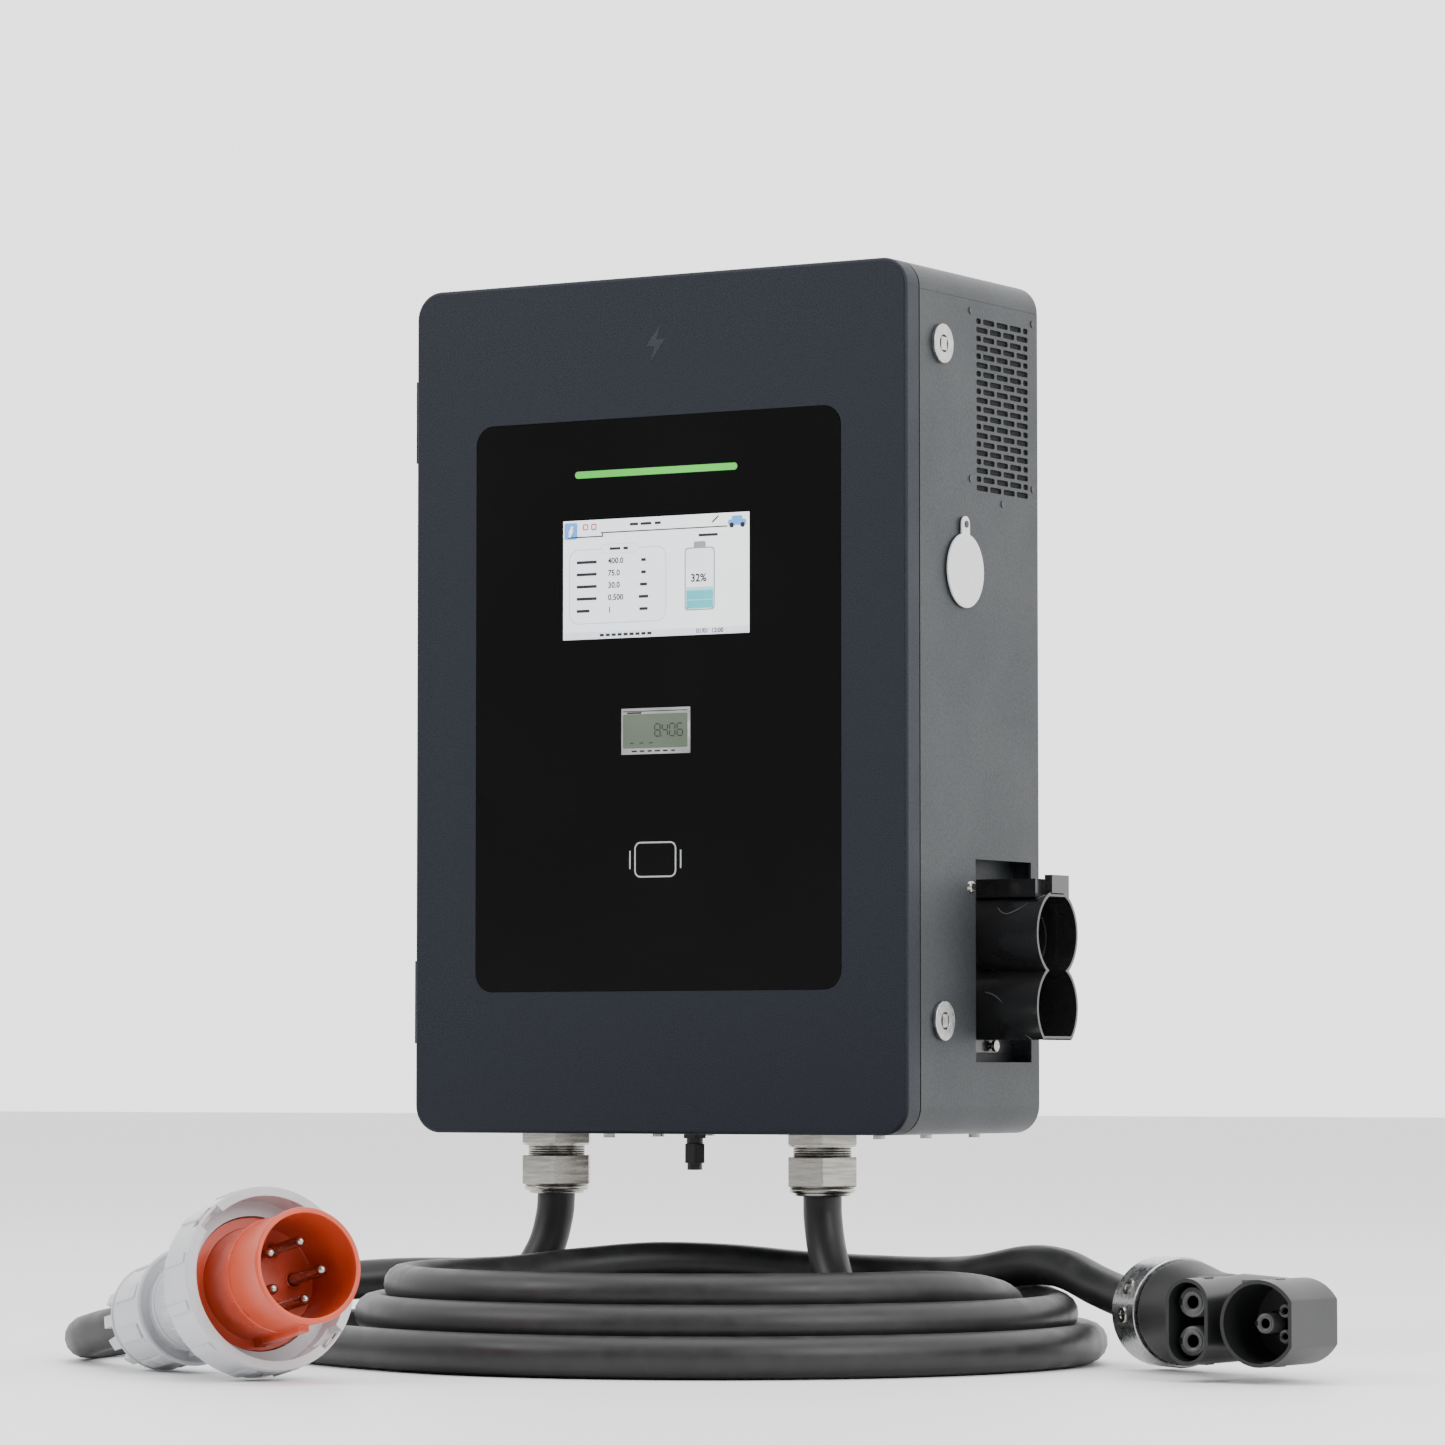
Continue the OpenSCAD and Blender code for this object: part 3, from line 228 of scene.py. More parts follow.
finishes = {
    "navy": powderCoat("navyPowderCoat", {"dark": (0.0028, 0.0046, 0.0090), "light": (0.0088, 0.0128, 0.0215),
                                          "grain": 1000, "rough": 0.5, "depth": 0.30, "sheen": 0.26}),
    "navyMark": powderCoat("darkNavyPrint", {"dark": (0.004, 0.006, 0.012), "light": (0.006, 0.009, 0.017),
                                             "grain": 700, "rough": 0.4, "depth": 0.2}),
    "grey": powderCoat("greyPowderCoat", {"dark": (0.021, 0.0245, 0.027), "light": (0.036, 0.041, 0.045),
                                             "grain": 800, "rough": 0.46, "depth": 0.24, "metal": 0.3,
                                             "sheen": 0.4}),
    "paleGrey": powderCoat("paleGreyPaint", {"dark": (0.60, 0.61, 0.61), "light": (0.68, 0.69, 0.69),
                                             "grain": 700, "rough": 0.38, "depth": 0.12}),
    # Black screw paint; the same finish is also laid as painted shade in the lock recesses
    "blackPaintAndShade": powderCoat("blackScrewPaintAndShade", {"dark": (0.008, 0.008, 0.009), "light": (0.016, 0.016, 0.017),
                                                 "grain": 900, "rough": 0.42, "depth": 0.2}),
    "zinc": brushedMetal("zincPlatedSteel", {"dark": (0.40, 0.41, 0.42), "light": (0.50, 0.51, 0.52),
                                             "rough": 0.36, "stretch": (0.3, 0.3, 0.3)}),
    "nickel": brushedMetal("nickelPlate", {"dark": (0.25, 0.24, 0.22), "light": (0.52, 0.50, 0.46),
                                             "rough": 0.24, "stretch": (0.5, 0.5, 5)}),
    "stainless": brushedMetal("satinStainless", {"dark": (0.34, 0.34, 0.335), "light": (0.54, 0.54, 0.53),
                                                 "rough": 0.3, "stretch": (1, 2, 2)}),
    "aluminium": brushedMetal("turnedAluminium", {"dark": (0.42, 0.425, 0.43), "light": (0.52, 0.525, 0.53),
                                                  "rough": 0.28, "stretch": (2, 2, 2), "grainDepth": 0.008}),
    "rubber": cableSheath("blackRubber", {"dark": (0.009, 0.009, 0.010), "light": (0.018, 0.018, 0.019),
                                          "rough": 0.62}),
    "sheath": cableSheath("cableSheath", {"dark": (0.011, 0.011, 0.012), "light": (0.021, 0.021, 0.022),
                                          "rough": 0.44}),
    "gripRubber": mouldedPlastic("gripRubber", {"dark": (0.012, 0.012, 0.013), "light": (0.019, 0.019, 0.020),
                                                "rough": 0.5, "grain": 1100, "depth": 0.3}),
    "foam": openFoam("filterFoam", {"dark": (0.002, 0.002, 0.002), "light": (0.012, 0.012, 0.012)}),
    "black": mouldedPlastic("blackPlastic", {"dark": (0.008, 0.008, 0.009), "light": (0.014, 0.014, 0.015),
                                             "rough": 0.42}),
    "satinBlack": mouldedPlastic("satinBlackPlastic", {"dark": (0.007, 0.007, 0.008),
                                                       "light": (0.012, 0.012, 0.013), "rough": 0.27,
                                                       "depth": 0.06, "coat": 0.35}),
    # Painted shade: near-black lining for the contact bores and the deep shroud floor round each contact
    "contactShade": mouldedPlastic("paintedContactShade", {"dark": (0.0012, 0.0012, 0.0013),
                                                   "light": (0.0020, 0.0020, 0.0021), "rough": 0.6,
                                                   "sheen": 0.12}),
    "darkGrey": mouldedPlastic("darkGreyPlastic", {"dark": (0.0085, 0.0088, 0.0095),
                                                   "light": (0.0130, 0.0135, 0.0142),
                                                   "rough": 0.4}),
    # Painted highlight: a lighter copy of the dark grey plastic, for contact sleeves, window blocks and holster
    # beads that catch the light
    "rimHighlightGrey": mouldedPlastic("rimHighlightPlastic", {"dark": (0.060, 0.061, 0.063), "light": (0.082, 0.083, 0.085),
                                                 "rough": 0.34}),
    "offWhite": mouldedPlastic("offWhitePlastic", {"dark": (0.50, 0.51, 0.51), "light": (0.58, 0.59, 0.59),
                                                   "rough": 0.38}),
    "plugGrey": mouldedPlastic("plugGreyPlastic", {"dark": (0.49, 0.50, 0.525), "light": (0.56, 0.57, 0.595),
                                                   "rough": 0.3, "depth": 0.05, "coat": 0.15}),
    "plugRed": mouldedPlastic("plugRedPlastic", {"dark": (0.50, 0.052, 0.018), "light": (0.60, 0.070, 0.024),
                                                 "rough": 0.3, "depth": 0.05, "coat": 0.15}),
    "fascia": glossSheet("blackFascia", {"color": (0.0028, 0.0028, 0.003), "rough": 0.2, "sheen": 0.14}),
    "greenBar": litPanel("greenDiffuser", {"dark": (0.035, 0.34, 0.025), "light": (0.065, 0.46, 0.05),
                                           "spread": 8, "glow": 0.7, "rough": 0.4}),
    "screen": litPanel("litScreen", {"dark": (0.80, 0.86, 0.91), "light": (0.93, 0.95, 0.96),
                                     "spread": 7, "glow": 0.55, "rough": 0.2}),
    "meterCase": brushedMetal("meterBezel", {"dark": (0.50, 0.50, 0.49), "light": (0.66, 0.66, 0.65),
                                             "rough": 0.32, "stretch": (0.3, 1, 1)}),
    "meterGlass": litPanel("meterWindow", {"dark": (0.10, 0.13, 0.095), "light": (0.15, 0.18, 0.14),
                                           "spread": 14, "glow": 0.05, "rough": 0.14}),
    "board": circuitBoard("solderMask", {"dark": (0.006, 0.060, 0.028), "light": (0.012, 0.095, 0.046)}),
}

nodeFinish = {
    "zinc": ["wall_bracket", "equipment_plate", "din_rail", "latch_strikes"],
    "grey": ["back_panel", "side_panel_left", "side_panel_right", "front_frame", "hinge_leaves_cabinet",
             "holster_bracket"],
    "navy": ["hinge_leaves_door"],
    "rubber": ["door_gasket", "gland_seals"],
    "nickel": ["case_screws", "panel_nuts", "plug_pins"],
    "stainless": ["hinge_pins"],
    "blackPaintAndShade": ["black_screws"],
    "foam": ["air_filters"],
    "black": ["fan_housing", "service_port", "fascia_frame", "breaker_toggle"],
    "darkGrey": ["dc_contactors", "display_module", "fan_rotor_upper", "fan_rotor_lower"],
    "aluminium": ["power_module"],
    "offWhite": ["main_breaker", "terminal_block"],
    "board": ["control_board", "interface_boards"],
    "greenBar": ["led_lens"],
    "screen": ["display_glass"],
    "fascia": ["fascia_panel"],
}


def paintNode(node, finish):
    piece = nodes[node]
    for materialSlot in piece.material_slots:
        materialSlot.material = finishes[finish]
    if not piece.material_slots:
        piece.data.materials.append(finishes[finish])


for finish, names in nodeFinish.items():
    for name in names:
        paintNode(name, finish)
print("finishes ready")


# Turns a bmesh into a finished piece on its body
def finishPiece(name, bm, body, finish, replaced=(), sharpAngle=38, extraFinishes=(), weighted=True):
    bmesh.ops.recalc_face_normals(bm, faces=bm.faces)
    mesh = bpy.data.meshes.new(name)
    bm.to_mesh(mesh)
    bm.free()
    mesh.shade_smooth()
    mesh.set_sharp_from_angle(angle=math.radians(sharpAngle))
    for one in (finish, *extraFinishes):
        mesh.materials.append(finishes[one])
    piece = bpy.data.objects.new(name, mesh)
    bpy.context.collection.objects.link(piece)
    if weighted:
        even = piece.modifiers.new("Weighted Normal", "WEIGHTED_NORMAL")
        even.keep_sharp = True
    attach(piece, body)
    if replaced:
        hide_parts(*replaced)
    return piece


# Copy of a CAD node with its corners broken, so that its edges catch the light
def softened(node, name, body, finish, edge, minAngle=40, chosen=None, steps=2):
    bm = bmesh.new()
    bm.from_mesh(nodes[node].data)
    bmesh.ops.remove_doubles(bm, verts=bm.verts, dist=0.000004)
    bmesh.ops.dissolve_limit(bm, angle_limit=math.radians(0.6), verts=bm.verts, edges=bm.edges)
    limit = math.radians(minAngle)
    picked = [e for e in bm.edges if len(e.link_faces) == 2 and e.calc_face_angle(0) > limit
              and (chosen is None or chosen(e))]
    bmesh.ops.bevel(bm, geom=picked, offset=edge, offset_type="OFFSET", segments=steps, profile=0.5,
                    affect="EDGES", clamp_overlap=True, material=-1)
    return finishPiece(name, bm, body, finish, (node,))


# ---- cables ----

cableSizes = {"diameter": 0.028, "floor": -0.4625, "coilCentre": (97, -283), "supplyLength": 5.33,
              "outputLength": 4.12}

# Free stretches, in millimetres, with heights above the floor
supplyStart = [(-145, -108, 111), (-146, -109, 94), (-150, -115, 70), (-160, -128, 46), (-173, -147, 27),
               (-190, -170, 16), (-205, -191, 14), (-231, -242, 14), (-235, -299, 14), (-218, -353, 14),
               (-185, -400, 14), (-144, -439, 14), (-97, -472, 14), (-47, -499, 14)]
supplyEnd = [(-64, -71, 47), (-122, -126, 47), (-170, -182, 50), (-215, -230, 50), (-256, -278, 44),
             (-285, -328, 31), (-302, -380, 18), (-306, -430, 14), (-295, -478, 14), (-268, -518, 18),
             (-227, -547, 24.5), (-180, -572, 30.5), (-134, -597, 40), (-88, -621, 50)]
outputStart = [(81, -108, 111), (82, -109, 94), (88, -113, 70), (101, -122, 46), (121, -136, 27),
               (144, -152, 16), (165, -167, 14), (201, -197, 14), (229, -234, 14), (246, -277, 14),
               (250, -323, 14), (239, -368, 14), (215, -407, 14)]
outputEnd = [(202, -94, 56), (249, -111, 63.5), (290, -135, 62.5), (331, -162, 52), (371, -192, 44),
             (409, -221, 38.5), (450, -253, 38.5), (491, -285, 38.5)]


def coilPoint(radius, angle, height):
    x, y = cableSizes["coilCentre"]
    turn = math.radians(angle)
    return (x + radius * math.cos(turn), y + radius * math.sin(turn), height)


# Supply cable: an outer turn, a turn inside it, then up onto the second layer
def supplyTurn(angle):
    radius = 256 - 40 * smoothStep((angle - 460) / 60) + 20 * smoothStep((angle - 760) / 55) \
        + 28 * smoothStep((angle - 1118) / 60)
    height = 14 + 19.6 * smoothStep((angle - 760) / 55) + 11.4 * smoothStep((angle - 1110) / 55) \
        + 8.8 * hump(angle, 850, 40)
    return coilPoint(radius, angle, height)


# Output cable: laid the other way, one turn on each of three layers
def outputTurn(swept):
    radius = 176 + 20 * smoothStep((swept - 330) / 70) + 20 * smoothStep((swept - 680) / 60) \
        - 2 * (1 - smoothStep((swept - 44) / 60))
    height = 14 + 19.6 * smoothStep((swept - 330) / 70) + 19.6 * smoothStep((swept - 680) / 60) \
        + 8.8 * hump(swept, 950, 40)
    return coilPoint(radius, -swept, height)


def makeCable(name, points, replaced):
    path = [Vector((x / 1000, y / 1000, cableSizes["floor"] + h / 1000)) for x, y, h in points]
    curve = bpy.data.curves.new(name, "CURVE")
    curve.dimensions = "3D"
    curve.bevel_depth = cableSizes["diameter"] / 2
    curve.bevel_resolution = 6
    curve.use_fill_caps = True
    spline = curve.splines.new("BEZIER")
    spline.bezier_points.add(len(path) - 1)
    spline.resolution_u = 7
    for i, point in enumerate(spline.bezier_points):
        before, here, after = path[max(i - 1, 0)], path[i], path[min(i + 1, len(path) - 1)]
        along = (after - before).normalized()
        point.handle_left_type = point.handle_right_type = "FREE"
        point.co = here
        point.handle_left = here - along * (here - before).length / 3
        point.handle_right = here + along * (after - here).length / 3
    curve.materials.append(finishes["sheath"])
    cable = bpy.data.objects.new(name, curve)
    bpy.context.collection.objects.link(cable)
    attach(cable, "cabinet")
    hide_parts(*replaced)
    return cable


supplyCable = makeCable("supplyCable", supplyStart + [supplyTurn(a) for a in range(249, 1195, 15)] + supplyEnd,
                        ("input_cord", "input_coil"))
outputCable = makeCable("outputCable", outputStart + [outputTurn(s) for s in range(62, 1009, 15)] + outputEnd,
                        ("output_cord", "output_coil"))
print("cables laid")

# ---- cabinet and door ----

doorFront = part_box("door_shell")[0][1]
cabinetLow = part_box("bottom_cover")[0]
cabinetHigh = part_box("top_cover")[1]
halfWidth = cabinetHigh[0]
halfHeight = cabinetHigh[2]

doorLook = {"edge": 0.0026, "markHeight": 0.027, "markCentre": 0.2585, "markStandOff": 0.00012}


# True for the outline of the door's front face
def onDoorRim(edge):
    outer = all(abs(v.co.x) > halfWidth - 0.021 or abs(v.co.z) > halfHeight - 0.021 for v in edge.verts)
    return outer and all(v.co.y < doorFront + 0.0001 for v in edge.verts)


softened("door_shell", "doorShell", "door", "navy", doorLook["edge"], 40, onDoorRim, 4)
softened("top_cover", "topCover", "cabinet", "grey", 0.0003)
softened("bottom_cover", "bottomCover", "cabinet", "grey", 0.0003)


# Adds a rectangle facing the front, and returns its faces
def addPlate(bm, x, z, width, height, y, slotIndex=0, lean=0):
    place = Matrix.Translation((x, y, z)) @ Matrix.Rotation(lean, 4, "Y") \
        @ Matrix.Rotation(math.radians(90), 4, "X") @ Matrix.Diagonal((width, height, 1, 1))
    made = bmesh.ops.create_grid(bm, x_segments=1, y_segments=1, size=0.5, matrix=place)
    faces = {f for v in made["verts"] for f in v.link_faces}
    for face in faces:
        face.material_index = slotIndex
    return list(faces)


# Adds a rectangle with round corners, facing the front
def addRoundPlate(bm, x, z, width, height, radius, y, slotIndex=0):
    faces = addPlate(bm, x, z, width, height, y, slotIndex)
    corners = list(faces[0].verts)
    bmesh.ops.bevel(bm, geom=corners, offset=radius, offset_type="OFFSET", segments=6, profile=0.5,
                    affect="VERTICES", material=-1)
    bm.faces.ensure_lookup_table()
    return [max((f for f in bm.faces if all(abs(v.co.x - x) <= width / 2 + 1e-6
            and abs(v.co.z - z) <= height / 2 + 1e-6 and abs(v.co.y - y) < 1e-6 for v in f.verts)),
            key=lambda f: f.calc_area())]


# Adds the outline of a round rectangle as a thin band
def addRoundOutline(bm, x, z, width, height, radius, line, y, slotIndex=0):
    faces = addRoundPlate(bm, x, z, width, height, radius, y, slotIndex)
    bmesh.ops.inset_region(bm, faces=faces, thickness=line, use_boundary=True, use_even_offset=True)
    bmesh.ops.delete(bm, geom=faces, context="FACES")


# Gives flat marks a small thickness, towards the back
def thicken(bm, depth):
    made = bmesh.ops.extrude_face_region(bm, geom=bm.faces[:])
    moved = [g for g in made["geom"] if isinstance(g, bmesh.types.BMVert)]
    bmesh.ops.translate(bm, verts=moved, vec=(0, depth, 0))


# A plain bolt on the door above the panel
def makeDoorMark():
    bm = bmesh.new()
    h = doorLook["markHeight"]
    y = doorFront - doorLook["markStandOff"]
    outline = [(0.16, 0.5), (-0.30, -0.08), (-0.03, -0.08), (-0.16, -0.5), (0.30, 0.10), (0.03, 0.10)]
    face = bm.faces.new([bm.verts.new((x * h, y, doorLook["markCentre"] + z * h)) for x, z in outline])
    face.normal_update()
    thicken(bm, 0.0001)
    finishPiece("doorMark", bm, "door", "navyMark")


makeDoorMark()

# ---- screen, meter and card mark ----

markColors = {
    "ink": (0.012, 0.014, 0.018), "softInk": (0.25, 0.28, 0.31), "blue": (0.10, 0.33, 0.75),
    "teal": (0.09, 0.47, 0.52), "paleTeal": (0.36, 0.68, 0.72), "red": (0.45, 0.05, 0.05),
    "frame": (0.52, 0.58, 0.63), "panel": (0.90, 0.93, 0.95), "cardGrey": (0.42, 0.43, 0.44),
    "footer": (0.72, 0.78, 0.85),
}
for colorName, color in markColors.items():
    finishes[colorName] = litPanel("print" + colorName[0].upper() + colorName[1:],
                                   {"dark": tuple(c * 0.92 for c in color), "light": color, "spread": 60,
                                    "glow": 0.5 if colorName != "cardGrey" else 0.05, "rough": 0.3})


# Adds figures as flat shapes; the place is their lower left corner
def addFigures(bm, figures, x, z, height, y, slotIndex=0):
    text = bpy.data.curves.new("figures", "FONT")
    text.body = figures
    text.size = height * 1.4
    text.resolution_u = 3
    text.offset = height * 0.035
    holder = bpy.data.objects.new("figures", text)
    mesh = bpy.data.meshes.new_from_object(holder)
    mesh.transform(Matrix.Translation((x, y, z)) @ Matrix.Rotation(math.radians(90), 4, "X"))
    already = set(bm.faces)
    bm.from_mesh(mesh)
    for face in bm.faces:
        if face not in already:
            face.material_index = slotIndex
    bpy.data.objects.remove(holder)
    bpy.data.meshes.remove(mesh)
    bpy.data.curves.remove(text)


screenLayout = {"figureHeight": 0.0042, "rowPitch": 0.0088, "figures": ["400.0", "75.0", "30.0", "0.500", "1"],
                "charge": 0.36}


def makeScreenPrint():
    low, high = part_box("display_glass")
    left, bottom, top = low[0], low[2], high[2]
    y = doorFront - 0.00006
    order = ("ink", "softInk", "blue", "teal", "paleTeal", "red", "frame", "panel", "footer")
    tint = {name: i for i, name in enumerate(order)}
    bm = bmesh.new()

    def at(u, v):                     # from the screen's lower left corner, in millimetres
        return left + u / 1000, bottom + v / 1000

    # header rule with its step, and small icons at both ends
    for u, v, w, h in ((85, 76.5, 106, 0.9), (19, 73.9, 30, 0.9)):
        addPlate(bm, *at(u, v), w / 1000, h / 1000, y, tint["ink"])
    addPlate(bm, *at(33.3, 75.2), 0.0009, 0.0035, y, tint["ink"])
    addRoundPlate(bm, *at(6.5, 78.5), 0.011, 0.012, 0.0015, y, tint["blue"])
    addPlate(bm, *at(6.5, 79.5), 0.0018, 0.006, y - 0.00003, tint["panel"], 0.5)
    addPlate(bm, *at(6.5, 77), 0.0018, 0.006, y - 0.00003, tint["panel"], 0.5)
    for u, name in ((19, "red"), (26, "red")):
        addRoundOutline(bm, *at(u, 81), 0.0045, 0.0045, 0.001, 0.0009, y, tint[name])
    for u, v, w, h in ((146, 79, 15, 4.2), (146, 82, 9, 3.4)):
        addRoundPlate(bm, *at(u, v), w / 1000, h / 1000, 0.0014, y - 0.00001 * h, tint["blue"])
    for u in (141.5, 150.5):
        addRoundPlate(bm, *at(u, 77), 0.0036, 0.0036, 0.0016, y - 0.00008, tint["ink"])
    addPlate(bm, *at(128, 82), 0.007, 0.0011, y, tint["ink"], -0.7)
    # title and label bars stand in for words
    for u, v, w in ((60, 81.5, 7), (70, 81.5, 9), (80, 81.5, 5), (44, 64.6, 9), (53, 64.6, 4), (122, 71, 16)):
        addPlate(bm, *at(u, v), w / 1000, 0.0019, y - 0.00004, tint["ink"])
    addRoundOutline(bm, *at(46, 38), 0.082, 0.054, 0.008, 0.0006, y, tint["frame"])
    addRoundPlate(bm, *at(48, 64.6), 0.032, 0.0072, 0.0034, y - 0.00001, tint["panel"])
    addRoundOutline(bm, *at(48, 64.6), 0.032, 0.0072, 0.0034, 0.0004, y - 0.00002, tint["frame"])
    for row, figures in enumerate(screenLayout["figures"]):
        v = 54 - row * screenLayout["rowPitch"] * 1000
        addPlate(bm, *at(20 if row < 4 else 17, v + 1.6), 0.017 if row < 4 else 0.011, 0.0021, y, tint["ink"])
        addFigures(bm, figures, *at(38, v), screenLayout["figureHeight"], y, tint["ink"])
        addPlate(bm, *at(68, v + 1.6), (0.004, 0.004, 0.006, 0.008, 0.007)[row], 0.0021, y, tint["ink"])
    # battery
    addRoundPlate(bm, *at(115, 64.2), 0.010, 0.005, 0.0012, y, tint["softInk"])
    addRoundPlate(bm, *at(115, 40), 0.025, 0.045, 0.003, y - 0.00001, tint["softInk"])
    addRoundPlate(bm, *at(115, 40), 0.0232, 0.0432, 0.0025, y - 0.00003, tint["panel"])
    full = 0.0424 * screenLayout["charge"]
    addPlate(bm, *at(115, 18.8 + full * 500), 0.0224, full, y - 0.00005, tint["teal"])
    addPlate(bm, *at(115, 18.8 + full * 1000 - 1.2), 0.0224, 0.0024, y - 0.00007, tint["paleTeal"])
    addPlate(bm, *at(115, 18.8 + full * 400), 0.0224, 0.0005, y - 0.00007, tint["paleTeal"])
    addFigures(bm, "32%", *at(107.5, 38), 0.0056, y - 0.00008, tint["ink"])
    # footer
    addPlate(bm, *at(78, 2.6), 0.1555, 0.005, y, tint["footer"])
    for u in range(33, 74, 5):
        addPlate(bm, *at(u, 2.6), 0.0035, 0.0019, y - 0.00004, tint["ink"])
    addFigures(bm, "01/01  12:00", *at(112, 1.2), 0.0032, y - 0.00004, tint["ink"])
    finishPiece("screenPrint", bm, "door", order[0], (), 38, order[1:], False)


def addSevenSegments(bm, figure, x, z, height, y, slotIndex):
    width, line = height * 0.5, height * 0.1
    segments = {"a": (0, 1, 0), "b": (1, 0.5, 1), "c": (1, -0.5, 1), "d": (0, -1, 0), "e": (-1, -0.5, 1),
                "f": (-1, 0.5, 1), "g": (0, 0, 0)}
    lit = {"8": "abcdefg", "4": "bcfg", "0": "abcdef", "6": "acdefg"}
    for name in lit[figure]:
        across, up, upright = segments[name]
        size = (line, height / 2 - line * 1.2) if upright else (width - line * 1.2, line)
        addPlate(bm, x + across * width / 2, z + up * height / 2, *size, y, slotIndex, 0.06)


meterLook = {"figures": "8406", "figurePitch": 0.0062, "figureHeight": 0.0088, "edgeRise": 0.0143}


def makeMeterFront():
    low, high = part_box("energy_meter")
    x, z = (low[0] + high[0]) / 2, (low[2] + high[2]) / 2
    y = doorFront + 0.0005 - 0.00006
    bm = bmesh.new()
    addRoundPlate(bm, x - 0.0005, z, 0.054, 0.0245, 0.0012, y, 1)
    addPlate(bm, x - 0.0005, z + meterLook["edgeRise"], 0.054, 0.0006, y, 2)
    for i in range(6):
        addPlate(bm, x - 0.018 + i * 0.0065, z - meterLook["edgeRise"], 0.0045 - 0.0006 * (i % 3), 0.0012, y, 2)
    addPlate(bm, x - 0.018, z + meterLook["edgeRise"] - 0.0012, 0.012, 0.0012, y - 0.00001, 2)
    for i, figure in enumerate(meterLook["figures"]):
        addSevenSegments(bm, figure, x + 0.0015 + i * meterLook["figurePitch"], z + 0.0005,
                         meterLook["figureHeight"], y - 0.00003, 2)
    addRoundPlate(bm, x + 0.0046, z - 0.0038, 0.001, 0.001, 0.0004, y - 0.00003, 2)
    for i in range(3):
        addPlate(bm, x - 0.02 + i * 0.008, z - 0.0085, 0.003, 0.0008, y - 0.00003, 2)
    finishPiece("meterFront", bm, "door", "meterCase", (), 38, ("meterGlass", "ink"), False)


def makeCardMark():
    bm = bmesh.new()
    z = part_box("interface_boards")[0][2] + 0.030
    y = doorFront - 0.00008
    addRoundOutline(bm, 0, z, 0.035, 0.0255, 0.005, 0.0011, y)
    for side in (-1, 1):
        addPlate(bm, side * 0.0212, z, 0.0011, 0.013, y)
    thicken(bm, 0.00006)
    finishPiece("cardMark", bm, "door", "cardGrey", (), 38, (), False)


makeScreenPrint()
paintNode("energy_meter", "meterCase")
makeMeterFront()
makeCardMark()
print("door ready")

# ---- right side ----

# Turns a closed outline of (radius, height) points about a place's own Z
def addTurned(bm, place, outline, around, slotIndex=0):
    already = set(bm.faces)
    corners = [bm.verts.new((radius, 0, height)) for radius, height in outline]
    sides = [bm.edges.new(pair) for pair in zip(corners, corners[1:] + corners[:1])]
    bmesh.ops.spin(bm, geom=corners + sides, cent=(0, 0, 0), axis=(0, 0, 1), steps=around, angle=math.tau,
                   use_merge=True)
    fresh = [f for f in bm.faces if f not in already]
    for face in fresh:
        face.material_index = slotIndex
    bmesh.ops.transform(bm, matrix=place, verts=list({v for f in fresh for v in f.verts}))


def addRing(bm, place, radius, tube, height=0.0, around=48):
    turns = [math.tau * i / 8 for i in range(8)]
    addTurned(bm, place, [(radius + tube * math.cos(t), height + tube * math.sin(t)) for t in turns], around)


# Adds a box in a frame, with its corners broken
def addBlock(bm, place, low, high, edge=0.0, slotIndex=0):
    size = [b - a for a, b in zip(low, high)]
    middle = [(a + b) / 2 for a, b in zip(low, high)]
    made = bmesh.ops.create_cube(bm, size=1,
                                 matrix=place @ Matrix.Translation(middle) @ Matrix.Diagonal((*size, 1)))
    edges = list({e for v in made["verts"] for e in v.link_edges})
    for face in {f for v in made["verts"] for f in v.link_faces}:
        face.material_index = slotIndex
    if edge:
        bmesh.ops.bevel(bm, geom=edges, offset=edge, offset_type="OFFSET", segments=2, profile=0.5,
                        affect="EDGES", clamp_overlap=True, material=-1)


softened("swing_cover", "swingCover", "swing_cover", "paleGrey", 0.0004)
softened("lock_housings", "lockHousings", "cabinet", "stainless", 0.0007)
softened("lock_core_upper", "lockCoreUpper", "lock_core_upper", "stainless", 0.0004)
softened("lock_core_lower", "lockCoreLower", "lock_core_lower", "stainless", 0.0004)
softened("holster_body", "holsterBody", "cabinet", "satinBlack", 0.0006)


# Where a line going inwards from the right first meets a CAD node
def landOn(node, y, z):
    bm = bmesh.new()
    bm.from_mesh(nodes[node].data)
    hit = BVHTree.FromBMesh(bm).ray_cast(Vector((0.5, y, z)), Vector((-1, 0, 0)))[0]
    bm.free()
    return hit.x


lockLook = {"y": -0.156, "heights": {"lock_core_upper": 0.2505, "lock_core_lower": -0.2275}, "recess": 0.0061,
            "probe": 0.0055}


# Painted shade: a thin black disc on the floor of the ring round each key insert, standing in for the shade in that
# recess
def makeLockShades():
    for body, z in lockLook["heights"].items():
        bm = bmesh.new()
        floor = max(landOn(node, lockLook["y"] + lockLook["probe"], z) for node in ("lock_housings", body))
        made = bmesh.ops.create_circle(bm, cap_ends=True, segments=40, radius=lockLook["recess"],
                                       matrix=Matrix.Translation((floor + 0.00012, lockLook["y"], z))
                                       @ Matrix.Rotation(math.radians(90), 4, "Y"))
        raised = bmesh.ops.extrude_face_region(bm, geom=bm.faces[:])
        bmesh.ops.translate(bm, verts=[g for g in raised["geom"] if isinstance(g, bmesh.types.BMVert)],
                            vec=(-0.0001, 0, 0))
        finishPiece("lockShade" + body.split("_")[-1].capitalize(), bm, body, "blackPaintAndShade", (), 38, (), False)


makeLockShades()

